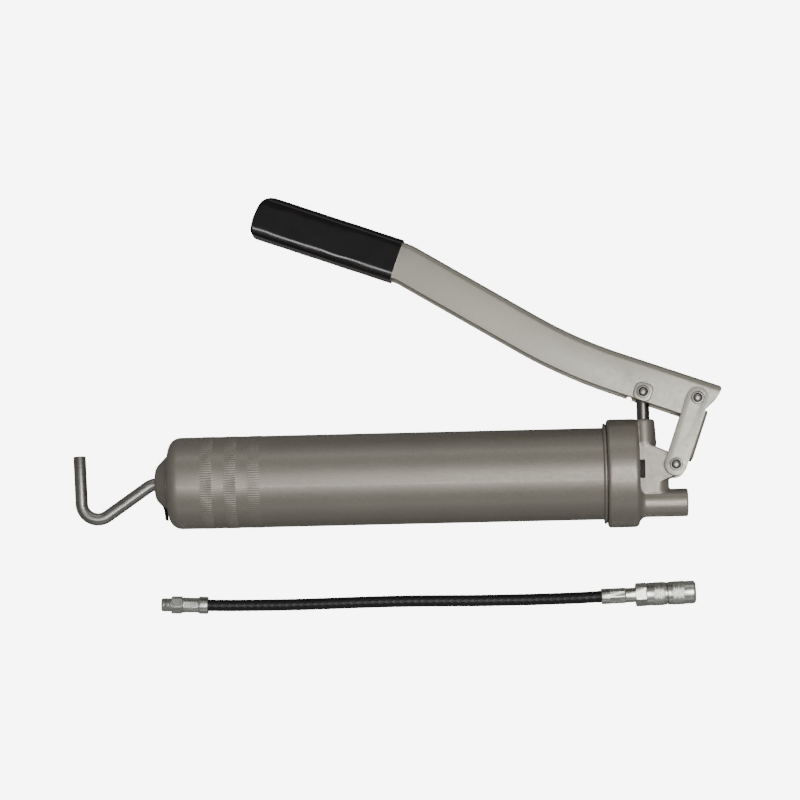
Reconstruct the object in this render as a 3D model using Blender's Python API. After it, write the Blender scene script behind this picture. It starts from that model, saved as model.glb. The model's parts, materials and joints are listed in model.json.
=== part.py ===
"""Lever-action grease gun lying on its side, with its loose hose laid beside it.

The row frame is in metres: +X runs from the follower handle to the outlet,
+Y towards the lever, +Z up, and the origin is under the middle of the gun, on
the surface that it lies on. The gun is drawn in its own axes, in millimetres:
u along the barrel towards the head, v across it in the lever's plane, and w
square to that plane. u = 0 is the plunger's axis and v = w = 0 the barrel's.
A hose fitting is drawn along its own +X, also in millimetres, then laid down.
"""

from math import acos, atan2, cos, hypot, pi, radians, sin, sqrt, tan

import bmesh
import bpy
from mathutils import Matrix, Vector

MM = 0.001
GAP = 0.3

# Barrel
BARREL_R = 28.5
BARREL_WALL = 1.2
BARREL_REAR = -295.4
BARREL_FRONT = -10.5
SHOULDER_R = 8.0
BEAD_R = 31.2
BEAD = (-25.6, -23.8)
GUIDE_HOLE_R = 9.0

# Rear cap and rod lock
CAP_FOOT_R = 17.9
CAP_CROWN = -304.0
CAP_CROWN_R = 9.6
CAP_WALL = 1.2
LOCK_PIVOT = (-299.2, 10.5)
LOCK_THICK = 1.1
LOCK_HALF_WIDTH = 5.5

# Follower and its rod
ROD_R = 3.9
ROD_HOLE_R = 4.3
FOLLOWER_R = 26.6
FOLLOWER_FRONT = -14.3
SPRING_R = 19.5
SPRING_WIRE_R = 1.2
SPRING_TURNS = 10

# Head casting
HEAD_R = 33.6
HEAD_REAR = -23.4
HEAD_FACE = -3.9
HEAD_INNER_FACE = -8.5
SOCKET_R = 29.3
COLUMN_TOP = 33.2
COLUMN_TOP_R = 6.5
COLUMN_R = 7.6
COLUMN_SHOULDER = 18.0
PLATE_HALF = 7.4
EAR_R = 5.9
EAR_HALF = 9.5
OUTLET_V = -18.9
OUTLET_R = 8.7
OUTLET_END = 26.3
OUTLET_THREAD_R = 4.5
THREAD_START = 12.0
VALVE_SEAT = 4.0
VALVE_PORT_R = 1.8
VALVE_CHAMBER_R = 3.2
VALVE_BALL_R = 2.4

# Linkage: pin centres, and the sheet-metal lever and link between them
PLUNGER_PIN = Vector((0.0, 49.5))
LINK_UPPER_PIN = Vector((33.5, 44.9))
LINK_LOWER_PIN = Vector((19.05, 3.95))
PIN_R = 2.45
PIN_HOLE_R = 2.75
LEVER_HALF = 9.5
LEVER_SHEET = 1.8
LEVER_HALF_DEPTH = 12.15
LEVER_CORNER_R = 4.0
LEVER_FRONT_LENGTH = 83.5
LEVER_MIDDLE_LENGTH = 118.5
LEVER_TAIL_LENGTH = 96.0
LEVER_FRONT_TILT = radians(19.7)
LEVER_MIDDLE_TILT = radians(31.2)
LEVER_BEND_R = 300.0
LEVER_KINK_R = 25.0
LINK_HALF = 12.0
LINK_SHEET = 2.2
LINK_END_R = 6.8
LINK_WEB_FACE = 8.8
LINK_WEB_SPAN = (6.4, 37.2)
OPEN_PIVOT_HOLE_R = 4.1
OPEN_PIVOT_SHIFT = (1.25, 0.25)

# Grip sleeve
GRIP_START = 4.5
GRIP_END = 98.5
GRIP_HALF_DEPTH = 13.6
GRIP_HALF = 11.2

# Plunger
PLUNGER_R = 4.0
PLUNGER_FOOT = 8.6
PLUNGER_HEAD = 53.8

# Hose, in the row frame
HOSE_R = 3.7
HOSE_START_TIP = (-0.1512, -0.1486)
HOSE_START_YAW = radians(-2.1)
COUPLER_BACK = (0.1469, -0.1493)
COUPLER_YAW = radians(1.5)
START_COLLAR_R = 5.45
COUPLER_R = 7.5

STEEL = "bright_steel"
ALONG = (1, 0, 0)
ACROSS = (0, 1, 0)
SIDEWAYS = (0, 0, 1)


# ---------------------------------------------------------------- outlines


def arc(centre, first, last, steps):
    """Points round the centre from first to last, both given as offsets."""
    turn = first.angle(last)
    points = []
    for step in range(steps + 1):
        share = step / steps
        offset = first * sin((1 - share) * turn) + last * sin(share * turn)
        points.append(centre + offset / sin(turn))
    return points


def rounded(corners, steps=5, closed=True):
    """Outline through corners of (x, y) or (x, y, radius)."""
    points = [Vector(corner[:2]) for corner in corners]
    outline = []
    for index, corner in enumerate(corners):
        here = points[index]
        at_end = not closed and index in (0, len(corners) - 1)
        if len(corner) < 3 or at_end:
            outline.append(here)
            continue
        before = (points[index - 1] - here).normalized()
        after = (points[(index + 1) % len(points)] - here).normalized()
        half = before.angle(after) / 2
        reach = corner[2] / tan(half)
        centre = here + (before + after).normalized() * (corner[2] / sin(half))
        first = here + before * reach - centre
        last = here + after * reach - centre
        outline += arc(centre, first, last, steps)
    return outline


def tangent_point(point, centre, radius, side):
    """Where a line from the point touches the circle, on its left (1) or right (-1)."""
    towards = point - centre
    half = acos(radius / towards.length)
    angle = atan2(towards.y, towards.x) - side * half
    return centre + radius * Vector((cos(angle), sin(angle)))


# ------------------------------------------------------------------ solids


def closed_up(shape):
    bmesh.ops.recalc_face_normals(shape, faces=shape.faces)
    return shape


def facing(start, axis):
    """Takes local +X to the axis, and the local origin to the start."""
    turn = Vector(ALONG).rotation_difference(Vector(axis))
    return Matrix.Translation(start) @ turn.to_matrix().to_4x4()


def turned(profile, steps=32, start=(0, 0, 0), axis=ALONG):
    """Solid of revolution. The profile of (along, radius) is a closed loop, or runs from axis to axis."""
    shape = bmesh.new()
    rings = []
    for along, radius in profile:
        if radius == 0:
            rings.append([shape.verts.new((along, 0, 0))] * steps)
            continue
        angles = [2 * pi * step / steps for step in range(steps)]
        rings.append([shape.verts.new((along, radius * cos(a), radius * sin(a))) for a in angles])
    pairs = list(zip(rings, rings[1:]))
    if profile[0][1] > 0:
        pairs.append((rings[-1], rings[0]))
    for near, far in pairs:
        for step in range(steps):
            following = (step + 1) % steps
            corners = [near[step], near[following], far[following], far[step]]
            shape.faces.new(list(dict.fromkeys(corners)))
    shape.transform(facing(start, axis))
    return closed_up(shape)


def round_bar(radius, length, start=(0, 0, 0), axis=ALONG, steps=24, chamfer=0.0):
    """Solid cylinder, with its two ends chamfered if asked."""
    profile = [(0, 0), (0, radius), (length, radius), (length, 0)]
    if chamfer:
        profile[1:3] = [
            (0, radius - chamfer),
            (chamfer, radius),
            (length - chamfer, radius),
            (length, radius - chamfer),
        ]
    return turned(profile, steps, start, axis)


def ring(inner, outer, length, start=(0, 0, 0), axis=ALONG, steps=24):
    profile = [(0, inner), (0, outer), (length, outer), (length, inner)]
    return turned(profile, steps, start, axis)


def prism(outline, low, high):
    """The (u, v) outline, extruded along w."""
    shape = bmesh.new()
    floor = [shape.verts.new((*point, low)) for point in outline]
    roof = [shape.verts.new((*point, high)) for point in outline]
    shape.faces.new(floor)
    shape.faces.new(roof)
    for index, corner in enumerate(floor):
        shape.faces.new([corner, floor[index - 1], roof[index - 1], roof[index]])
    return closed_up(shape)


def block(low, high):
    outline = [(low[0], low[1]), (high[0], low[1]), (high[0], high[1]), (low[0], high[1])]
    return prism(outline, low[2], high[2])


def swept(path, section):
    """A section of (n, w) points carried along a path in the (u, v) plane; n is to the path's left."""
    shape = bmesh.new()
    rings = []
    for index, point in enumerate(path):
        before = point - path[index - 1] if index else path[1] - point
        after = path[index + 1] - point if index < len(path) - 1 else before
        heading = (before.normalized() + after.normalized()).normalized()
        left = Vector((-heading.y, heading.x)) / cos(heading.angle(after))
        rings.append([shape.verts.new((*(point + left * n), w)) for n, w in section])
    shape.faces.new(rings[0])
    shape.faces.new(rings[-1])
    for near, far in zip(rings, rings[1:]):
        for index, corner in enumerate(near):
            shape.faces.new([corner, near[index - 1], far[index - 1], far[index]])
    bmesh.ops.triangulate(shape, faces=[face for face in shape.faces if len(face.verts) > 4])
    return closed_up(shape)


def coil(radius, wire, start, end, turns, steps=12, sides=5):
    """Helical spring about the u axis, from start to end, with its wire ends cut square."""
    shape = bmesh.new()
    rings = []
    count = round(turns * steps)
    lead = (end - start) / (2 * pi * turns)
    for index in range(count + 1):
        angle = 2 * pi * index / steps
        outward = Vector((0, cos(angle), sin(angle)))
        heading = Vector((lead, -radius * sin(angle), radius * cos(angle))).normalized()
        sideways = heading.cross(outward)
        centre = outward * radius + Vector((start + lead * angle, 0, 0))
        around = [2 * pi * side / sides for side in range(sides)]
        rings.append([shape.verts.new(centre + wire * (outward * cos(a) + sideways * sin(a))) for a in around])
    shape.faces.new(rings[0])
    shape.faces.new(rings[-1])
    for near, far in zip(rings, rings[1:]):
        for side in range(sides):
            shape.faces.new([near[side], near[side - 1], far[side - 1], far[side]])
    return closed_up(shape)


def helper(shape):
    mesh = bpy.data.meshes.new("helper")
    shape.to_mesh(mesh)
    shape.free()
    made = bpy.data.objects.new("helper", mesh)
    bpy.context.scene.collection.objects.link(made)
    return made


def combined(operation, base, tools):
    host = helper(base)
    others = [helper(tool) for tool in tools]
    for other in others:
        change = host.modifiers.new(operation, "BOOLEAN")
        change.operation = operation
        change.object = other
    result = bmesh.new()
    result.from_object(host, bpy.context.evaluated_depsgraph_get())
    for spent in [host, *others]:
        bpy.data.objects.remove(spent)
    return result


def joined(base, *tools):
    return combined("UNION", base, tools)


def cut(base, *tools):
    return combined("DIFFERENCE", base, tools)


def bevelled(base, width, segments=3, limit=40):
    host = helper(base)
    change = host.modifiers.new("rounding", "BEVEL")
    change.width = width
    change.segments = segments
    change.angle_limit = radians(limit)
    result = bmesh.new()
    result.from_object(host, bpy.context.evaluated_depsgraph_get())
    bpy.data.objects.remove(host)
    return result


# ------------------------------------------------------- bodies and pieces


def finish(name, colour, roughness, metallic):
    material = bpy.data.materials.new(name)
    material.use_nodes = True
    shader = material.node_tree.nodes["Principled BSDF"]
    shader.inputs["Base Color"].default_value = (*colour, 1)
    shader.inputs["Roughness"].default_value = roughness
    shader.inputs["Metallic"].default_value = metallic
    material.diffuse_color = (*colour, 1)
    return material


def finishes():
    table = {
        "barrel_paint": ((0.24, 0.225, 0.205), 0.38, 0.55),
        "lever_paint": ((0.40, 0.385, 0.36), 0.42, 0.45),
        "bright_steel": ((0.55, 0.53, 0.51), 0.25, 1.0),
        "zinc_plate": ((0.62, 0.62, 0.58), 0.22, 1.0),
        "spring_steel": ((0.30, 0.30, 0.31), 0.35, 1.0),
        "dark_steel": ((0.05, 0.05, 0.05), 0.40, 0.8),
        "black_vinyl": ((0.012, 0.012, 0.013), 0.16, 0.0),
        "black_rubber": ((0.018, 0.018, 0.018), 0.55, 0.0),
        "hose_cover": ((0.015, 0.015, 0.016), 0.42, 0.0),
    }
    return {name: finish(name, *values) for name, values in table.items()}


def empty(name, at, parent=None):
    marker = bpy.data.objects.new(name, None)
    marker.location = at
    marker.parent = parent
    bpy.context.scene.collection.objects.link(marker)
    return marker


class Bench:
    """Holds the bodies' empties, so that each piece hangs from its own joint."""

    def __init__(self):
        self.finishes = finishes()
        self.places = {}
        self.markers = {}

    def body(self, name, at=(0, 0, 0), parent=None):
        place = Vector(at)
        base = self.places.get(parent, Vector((0, 0, 0)))
        self.places[name] = place
        self.markers[name] = empty(name + "_joint", (place - base) * MM, self.markers.get(parent))

    def piece(self, name, shape, body, material):
        shape.transform(Matrix.Scale(MM, 4) @ Matrix.Translation(-self.places[body]))
        mesh = bpy.data.meshes.new(name)
        shape.to_mesh(mesh)
        shape.free()
        mesh.shade_smooth()
        mesh.set_sharp_from_angle(angle=radians(32))
        mesh.materials.append(self.finishes[material])
        made = bpy.data.objects.new(name, mesh)
        made.parent = self.markers[body]
        bpy.context.scene.collection.objects.link(made)
        return made


# ---------------------------------------------------------------- the head


def head_casting():
    rim = [(HEAD_REAR, SOCKET_R), (HEAD_REAR, HEAD_R, 1.8), (HEAD_FACE, HEAD_R, 2.8)]
    skirt = rounded([(HEAD_INNER_FACE, 0), (HEAD_INNER_FACE, SOCKET_R), *rim, (HEAD_FACE, 0)], 3, False)
    foot = OUTLET_V
    column = [
        (0, 0),
        (0, COLUMN_R),
        (COLUMN_SHOULDER - foot, COLUMN_R),
        (COLUMN_TOP - foot, COLUMN_TOP_R, 1.2),
        (COLUMN_TOP - foot, 0),
    ]
    flare = 13.0
    boss = [
        (HEAD_INNER_FACE + 1, 0),
        (HEAD_INNER_FACE + 1, flare),
        (HEAD_FACE, flare),
        (HEAD_FACE + 0.8, OUTLET_R + 1.6),
        (HEAD_FACE + 4.5, OUTLET_R),
        (OUTLET_END, OUTLET_R, 0.9),
        (OUTLET_END, 0),
    ]
    shoulder = Vector((1.5, 18.3))
    elbow = Vector((9.8, -6.2))
    upper = tangent_point(shoulder, LINK_LOWER_PIN, EAR_R, 1)
    lower = tangent_point(elbow, LINK_LOWER_PIN, EAR_R, -1)
    plate_foot = -12.9
    corners = [elbow, (7.5, -8), (7.5, plate_foot), (-5, plate_foot)]
    plate = [(-5, 18.9), shoulder, upper, lower, *corners]
    neck = (7.55, plate_foot + 0.05, 0)
    ear = (*LINK_LOWER_PIN, -EAR_HALF)
    return joined(
        turned(skirt, 48),
        turned(rounded(column, 2, False), 24, (0, foot, 0), ACROSS),
        turned(rounded(boss, 2, False), 32, (0, foot, 0)),
        prism(plate, -PLATE_HALF, PLATE_HALF),
        round_bar(PLATE_HALF - 0.05, 9.3, neck, ACROSS),
        round_bar(EAR_R, 2 * EAR_HALF, ear, SIDEWAYS),
    )


def outlet_bore():
    """The valve's seat, chamber and outlet thread, as one stepped hole."""
    chamber = (VALVE_SEAT, VALVE_CHAMBER_R)
    thread = (THREAD_START, OUTLET_THREAD_R)
    profile = [
        (-0.7, 0),
        (-0.7, VALVE_PORT_R),
        (VALVE_SEAT, VALVE_PORT_R),
        chamber,
        (THREAD_START, VALVE_CHAMBER_R),
        thread,
        (OUTLET_END + 5, OUTLET_THREAD_R),
        (OUTLET_END + 5, 0),
    ]
    return turned(profile, 24, (0, OUTLET_V, 0))


def pump_head():
    slot_low = (-3.2, -3.8)
    slot_high = (0.2, 7.5)
    slot_floor = 4.9
    bore_foot = -13.0
    pin = (*LINK_LOWER_PIN, -20)
    return cut(
        head_casting(),
        round_bar(ROD_HOLE_R, 60, (0, bore_foot, 0), ACROSS),
        ring(3.9, 5.8, 3.6, (0, 26.7, 0), ACROSS),
        round_bar(1.5, 8, (0.1, OUTLET_V - 0.4, 0), ACROSS, 16),
        outlet_bore(),
        round_bar(2.0, 10, (HEAD_INNER_FACE - 1, 6, 0), steps=16),
        round_bar(PIN_HOLE_R, 40, pin, SIDEWAYS),
        block((*slot_low, slot_floor), (*slot_high, 12)),
        block((*slot_low, -12), (*slot_high, -slot_floor)),
    )


def add_head(bench):
    bench.piece("pump_head", pump_head(), "head", "barrel_paint")
    bench.piece("barrel_gasket", ring(24.5, 28.6, 1.4, (-10.2, 0, 0), steps=40), "head", "black_rubber")
    seal = ring(PLUNGER_R + GAP, 5.5, 3.0, (0, 27, 0), ACROSS)
    bench.piece("gland_seal", seal, "head", "black_rubber")
    spring = coil(2.0, 0.35, 9.0, 12.1, 3, 10)
    spring.transform(Matrix.Translation((0, OUTLET_V, 0)))
    bench.piece("check_valve_spring", spring, "head", "spring_steel")
    plug = ring(1.7, OUTLET_THREAD_R - GAP, 2.2, (12.6, OUTLET_V, 0))
    bench.piece("check_valve_retainer", plug, "head", "zinc_plate")
    ball = [(VALVE_BALL_R * -cos(pi * k / 10), VALVE_BALL_R * sin(pi * k / 10)) for k in range(1, 10)]
    profile = [(-VALVE_BALL_R, 0), *ball, (VALVE_BALL_R, 0)]
    place = tuple(bench.places["check_valve"])
    bench.piece("check_valve_ball", turned(profile, 16, place), "check_valve", STEEL)


# --------------------------------------------------------------- the pump


def pin_bar(place, reach):
    """Cross pin with slightly domed ends."""
    dome = 0.5
    profile = [
        (0, 0),
        (0.15, PIN_R * 0.6),
        (dome, PIN_R),
        (2 * reach - dome, PIN_R),
        (2 * reach - 0.15, PIN_R * 0.6),
        (2 * reach, 0),
    ]
    return turned(profile, 24, (*place, -reach), SIDEWAYS)


def pin_clip(place, face):
    """Push-on retaining washer outside the face at +w or -w."""
    thick = 0.9
    low = face if face > 0 else face - thick
    return ring(PIN_R + 0.25, 3.9, thick, (*place, low), SIDEWAYS)


def add_pin(bench, name, place, reach, body):
    bench.piece(name + "_pin", pin_bar(place, reach), body, STEEL)
    clip_gap = 1.2
    for side, label in ((1, "near"), (-1, "far")):
        clip = pin_clip(place, side * (reach - clip_gap))
        bench.piece(f"{name}_clip_{label}", clip, body, STEEL)


def add_plunger(bench):
    length = PLUNGER_HEAD - PLUNGER_FOOT
    rod = round_bar(PLUNGER_R, length, (0, PLUNGER_FOOT, 0), ACROSS, 32, 0.8)
    hole = round_bar(PIN_HOLE_R, 20, (*PLUNGER_PIN, -10), SIDEWAYS)
    bench.piece("plunger_rod", cut(rod, hole), "plunger", STEEL)
    add_pin(bench, "plunger", PLUNGER_PIN, 12.2, "plunger")


# --------------------------------------------------------------- the lever


def lever_direction(tilt):
    return Vector((cos(tilt), -sin(tilt)))


def lever_path():
    """Mid-depth line of the lever, from its tail to its nose."""
    nose = LINK_UPPER_PIN + 13.0 * lever_direction(LEVER_FRONT_TILT)
    bend = LINK_UPPER_PIN - LEVER_FRONT_LENGTH * lever_direction(LEVER_FRONT_TILT)
    kink = bend - LEVER_MIDDLE_LENGTH * lever_direction(LEVER_MIDDLE_TILT)
    tail = kink - LEVER_TAIL_LENGTH * lever_direction(LEVER_FRONT_TILT)
    return tail, kink, bend, nose


def lever_line():
    tail, kink, bend, nose = lever_path()
    corners = [tail, (*kink, LEVER_KINK_R), (*bend, LEVER_BEND_R), nose]
    return rounded(corners, 8, False)


def channel_section():
    """The U of the lever's sheet, open on the barrel's side."""
    top = LEVER_HALF_DEPTH
    inside = LEVER_HALF - LEVER_SHEET
    inner_r = LEVER_CORNER_R - LEVER_SHEET
    corners = [
        (-top, -LEVER_HALF),
        (top, -LEVER_HALF, LEVER_CORNER_R),
        (top, LEVER_HALF, LEVER_CORNER_R),
        (-top, LEVER_HALF),
        (-top, inside),
        (top - LEVER_SHEET, inside, inner_r),
        (top - LEVER_SHEET, -inside, inner_r),
        (-top, -inside),
    ]
    return rounded(corners, 3)


def lever_place(along, across):
    """A point from the upper link pin, along the lever's front towards its nose, and across it upwards."""
    ahead = lever_direction(LEVER_FRONT_TILT)
    upward = Vector((-ahead.y, ahead.x))
    return LINK_UPPER_PIN + along * ahead + across * upward


def nose_trim():
    """What is cut off the nose: a slanted end that clears the link's web as the lever closes."""
    outline = [(12.4, 14), (12.4, 11.0), (5.4, -6.6), (1.9, -12.4), (1.9, -20), (30, -20), (30, 14)]
    return prism([lever_place(*point) for point in outline], -20, 20)


def lever_channel():
    hole = lever_place(*OPEN_PIVOT_SHIFT)
    notch = Vector((-8.2, 46.7))
    return cut(
        swept(lever_line(), channel_section()),
        nose_trim(),
        round_bar(4.4, 40, (*PLUNGER_PIN, -20), SIDEWAYS),
        round_bar(OPEN_PIVOT_HOLE_R, 40, (*hole, -20), SIDEWAYS),
        round_bar(1.7, 15, (*notch, -20), SIDEWAYS, 16),
    )


def lever_bush(side):
    """Flanged bush with a square head, set in the lever's flange round the plunger pin."""
    half = 5.75
    face = LEVER_HALF + 0.25
    head_top = face + 1.15
    square = [(-half, -half, 2.5), (half, -half, 2.5), (half, half, 2.5), (-half, half, 2.5)]
    ahead = lever_direction(LEVER_FRONT_TILT)
    turn = Matrix.Rotation(atan2(ahead.y, ahead.x), 4, "Z")
    head = prism(rounded(square, 4), face, head_top)
    head.transform(Matrix.Translation((*PLUNGER_PIN, 0)) @ turn)
    sleeve = round_bar(4.1, face - 4.5 + 0.5, (*PLUNGER_PIN, 4.5), SIDEWAYS)
    bore = round_bar(PIN_HOLE_R, 40, (*PLUNGER_PIN, -20), SIDEWAYS)
    bush = cut(joined(head, sleeve), bore)
    if side < 0:
        bush.transform(Matrix.Scale(-1, 4, SIDEWAYS))
        bmesh.ops.reverse_faces(bush, faces=bush.faces)
    return bush


def lever_grip():
    kink = lever_path()[1]
    start = GRIP_START - 8
    corners = [
        (start, -GRIP_HALF_DEPTH),
        (GRIP_END, -GRIP_HALF_DEPTH, 4.5),
        (GRIP_END, GRIP_HALF_DEPTH, 9.5),
        (start, GRIP_HALF_DEPTH),
    ]
    sleeve = bevelled(prism(rounded(corners, 6), -GRIP_HALF, GRIP_HALF), 4.0)
    depth = LEVER_HALF_DEPTH + GAP
    width = LEVER_HALF + GAP
    hollow = block((start - 5, -depth, -width), (LEVER_TAIL_LENGTH + GAP, depth, width))
    front = block((start - 5, -20, -20), (GRIP_START, 20, 20))
    grip = cut(sleeve, hollow, front)
    mirror = Matrix.Scale(-1, 4, ALONG)
    turn = Matrix.Rotation(-LEVER_FRONT_TILT, 4, "Z")
    grip.transform(Matrix.Translation((*kink, 0)) @ turn @ mirror)
    bmesh.ops.reverse_faces(grip, faces=grip.faces)
    return grip


def add_lever(bench):
    bench.piece("lever_channel", lever_channel(), "lever", "lever_paint")
    bench.piece("lever_grip", lever_grip(), "lever", "black_vinyl")
    bench.piece("lever_bush_near", lever_bush(1), "lever", "lever_paint")
    bench.piece("lever_bush_far", lever_bush(-1), "lever", "lever_paint")


# ---------------------------------------------------------------- the link


def link_turn():
    """Takes (along the link, across it towards its web) to (u, v)."""
    axis = (LINK_UPPER_PIN - LINK_LOWER_PIN).normalized()
    return Matrix.Translation((*LINK_LOWER_PIN, 0)) @ Matrix.Rotation(atan2(axis.y, axis.x), 4, "Z")


def link_channel():
    """Two round-ended side plates and the web that joins them; the web is at local -y."""
    length = (LINK_UPPER_PIN - LINK_LOWER_PIN).length
    low, high = LINK_WEB_SPAN
    side = LINK_END_R
    corners = [
        (-side, -side, side * 0.999),
        (low, -side),
        (low, -LINK_WEB_FACE),
        (high, -LINK_WEB_FACE),
        (high, -side),
        (length + side, -side, side * 0.999),
        (length + side, side, side * 0.999),
        (-side, side, side * 0.999),
    ]
    inside = LINK_HALF - LINK_SHEET
    web = -LINK_WEB_FACE + LINK_SHEET
    hollow = block((-20, web, -inside), (length + 20, 20, inside))
    ends = [
        block((-20, -20, -inside), (low, 20, inside)),
        block((high, -20, -inside), (length + 20, 20, inside)),
    ]
    holes = [round_bar(PIN_HOLE_R, 40, (at, 0, -20), SIDEWAYS) for at in (0, length)]
    link = cut(prism(rounded(corners, 8), -LINK_HALF, LINK_HALF), hollow, *ends, *holes)
    link.transform(link_turn())
    return link


def add_link(bench):
    bench.piece("link_channel", link_channel(), "link", "lever_paint")
    add_pin(bench, "link_lower", LINK_LOWER_PIN, LINK_HALF + 1.4, "link")
    add_pin(bench, "link_upper", LINK_UPPER_PIN, LINK_HALF + 1.4, "link")


# -------------------------------------------------------------- the barrel


def barrel_tube():
    inner = BARREL_R - BARREL_WALL
    corners = [
        (BARREL_FRONT, inner),
        (BARREL_FRONT, BARREL_R),
        (BEAD[1], BARREL_R),
        (BEAD[1], BEAD_R, 0.85),
        (BEAD[0], BEAD_R, 0.85),
        (BEAD[0], BARREL_R),
        (BARREL_REAR, BARREL_R, SHOULDER_R),
        (BARREL_REAR, GUIDE_HOLE_R),
        (BARREL_REAR + BARREL_WALL, GUIDE_HOLE_R),
        (BARREL_REAR + BARREL_WALL, inner, SHOULDER_R - BARREL_WALL),
    ]
    return turned(rounded(corners, 2), 32)


def rear_cap():
    foot = BARREL_REAR - GAP
    inner_crown = CAP_CROWN + CAP_WALL
    corners = [
        (foot, CAP_FOOT_R - 1.7),
        (foot, CAP_FOOT_R),
        (CAP_CROWN, CAP_CROWN_R, 8.0),
        (CAP_CROWN, ROD_HOLE_R),
        (inner_crown, ROD_HOLE_R),
        (inner_crown, CAP_CROWN_R - 0.5, 6.0),
    ]
    half = LOCK_HALF_WIDTH + 0.9
    slot = block((-300.7, -30, -half), (foot + 5, -9.5, half))
    return cut(turned(rounded(corners, 4), 32), slot)


def rod_lock_plate():
    """Spring plate round the rod, with a thumb tab that comes out at the foot of the cap."""
    line = [Vector(LOCK_PIVOT), Vector((-299.5, -13.0)), Vector((-298.5, -17.2)), Vector((-296.9, -22.7))]
    half = LOCK_THICK / 2
    width = LOCK_HALF_WIDTH
    section = [(-half, -width), (half, -width), (half, width), (-half, width)]
    return cut(swept(line, section), round_bar(ROD_HOLE_R + 0.3, 20, (-310, 0, 0)))


def add_barrel(bench):
    bench.piece("barrel_tube", barrel_tube(), "barrel", "barrel_paint")
    bench.piece("rear_cap", rear_cap(), "barrel", "barrel_paint")
    bush = ring(ROD_HOLE_R, GUIDE_HOLE_R - GAP, 4.0, (BARREL_REAR + 0.2, 0, 0))
    bench.piece("rod_guide_bush", bush, "barrel", "dark_steel")
    spring = coil(SPRING_R, SPRING_WIRE_R, -289.0, -21.2, SPRING_TURNS)
    bench.piece("follower_spring", spring, "barrel", "spring_steel")
    lock_spring = coil(7.2, 0.4, -298.1, -296.2, 2, 16)
    bench.piece("rod_lock_spring", lock_spring, "barrel", "spring_steel")
    bench.piece("rod_lock_plate", rod_lock_plate(), "rod_lock", "dark_steel")


# ------------------------------------------------------------ the follower


def follower_cup():
    web = FOLLOWER_FRONT - 3.0
    back = FOLLOWER_FRONT - 16.0
    corners = [
        (FOLLOWER_FRONT, ROD_HOLE_R),
        (FOLLOWER_FRONT, FOLLOWER_R, 2.5),
        (back, FOLLOWER_R),
        (back, FOLLOWER_R - 2.4),
        (web, FOLLOWER_R - 2.9, 2.0),
        (web, ROD_HOLE_R),
    ]
    return turned(rounded(corners, 2), 32)


def follower_rod():
    """Rod from the nut to the hook, bent in the lever's plane."""
    corners = [(-9.9, 0), (-305.9, 0, 12.0), (-349.4, -30.0, 10.3), (-351.2, 18.2)]
    circle = [(ROD_R * cos(2 * pi * k / 16), ROD_R * sin(2 * pi * k / 16)) for k in range(16)]
    path = [Vector(point) for point in rounded(corners, 8, False)]
    return swept(path, circle)


def rod_nut():
    hexagon = [(6.4 * cos(pi * k / 3), 6.4 * sin(pi * k / 3)) for k in range(6)]
    nut = prism(hexagon, 0, 1.9)
    nut.transform(facing((-12.2, 0, 0), ALONG) @ Matrix.Rotation(pi / 2, 4, "Y"))
    return cut(nut, round_bar(ROD_R + 0.2, 10, (-15, 0, 0)))


def add_follower(bench):
    bench.piece("follower_cup", follower_cup(), "follower", "black_rubber")
    front = ring(ROD_HOLE_R, 17.0, 1.6, (FOLLOWER_FRONT + 0.2, 0, 0), steps=32)
    bench.piece("follower_front_plate", front, "follower", "zinc_plate")
    back = ring(ROD_HOLE_R, 21.0, 1.6, (FOLLOWER_FRONT - 4.9, 0, 0), steps=32)
    bench.piece("follower_back_plate", back, "follower", "zinc_plate")
    bench.piece("follower_rod", follower_rod(), "rod", STEEL)
    bench.piece("rod_nut", rod_nut(), "rod", "zinc_plate")


# ---------------------------------------------------------------- the hose


def laid(shape, place, height, yaw):
    """Lays a fitting drawn along +X in millimetres at a place of the row frame."""
    at = Vector((place[0] / MM, place[1] / MM, height))
    shape.transform(Matrix.Translation(at) @ Matrix.Rotation(yaw, 4, "Z"))
    return shape


def on_line(place, yaw, distance):
    """The row-frame point a distance in millimetres along a laid fitting's axis."""
    return (place[0] + distance * MM * cos(yaw), place[1] + distance * MM * sin(yaw))


def hexagon_bar(across_corners, length, start, turn=0.0):
    angles = [turn + pi * k / 3 for k in range(6)]
    bar = prism([(across_corners / 2 * cos(a), across_corners / 2 * sin(a)) for a in angles], 0, length)
    bar.transform(Matrix.Translation((start, 0, 0)) @ Matrix.Rotation(pi / 2, 4, "Y"))
    return bar


FERRULE_START = 13.6
FERRULE_END = 29.4
CRIMP_LENGTH = 21.6
SEAM = 20.0
COUPLER_LENGTH = 37.8


def hose_end_fitting():
    thread = turned(rounded([(0, 0), (0, 4.25, 0.6), (6.3, 4.25), (6.3, 0)], 2, False), 32)
    stem = round_bar(2.1, 16.0, (12, 0, 0))
    body = joined(thread, hexagon_bar(11.4, 7.0, 6.2, 0.2), stem)
    return cut(body, round_bar(1.4, 40, (-1, 0, 0), steps=16))


def hose_end_ferrule():
    corners = [
        (FERRULE_START, 2.4),
        (FERRULE_START, 4.65),
        (23.6, 4.65),
        (24.2, START_COLLAR_R, 0.5),
        (FERRULE_END, START_COLLAR_R, 0.8),
        (FERRULE_END, 2.4),
    ]
    return turned(rounded(corners, 2), 24)


def coupler_ferrule():
    end = -GAP
    corners = [
        (-CRIMP_LENGTH, 2.4),
        (-CRIMP_LENGTH, 4.9, 0.5),
        (-17.0, 4.9, 0.4),
        (-16.6, 4.55),
        (-7.4, 4.55),
        (-7.0, 4.95, 0.4),
        (-4.4, 4.95, 0.4),
        (-4.0, 4.7),
        (end, 4.7),
        (end, 2.4),
    ]
    return turned(rounded(corners, 2), 24)


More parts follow.
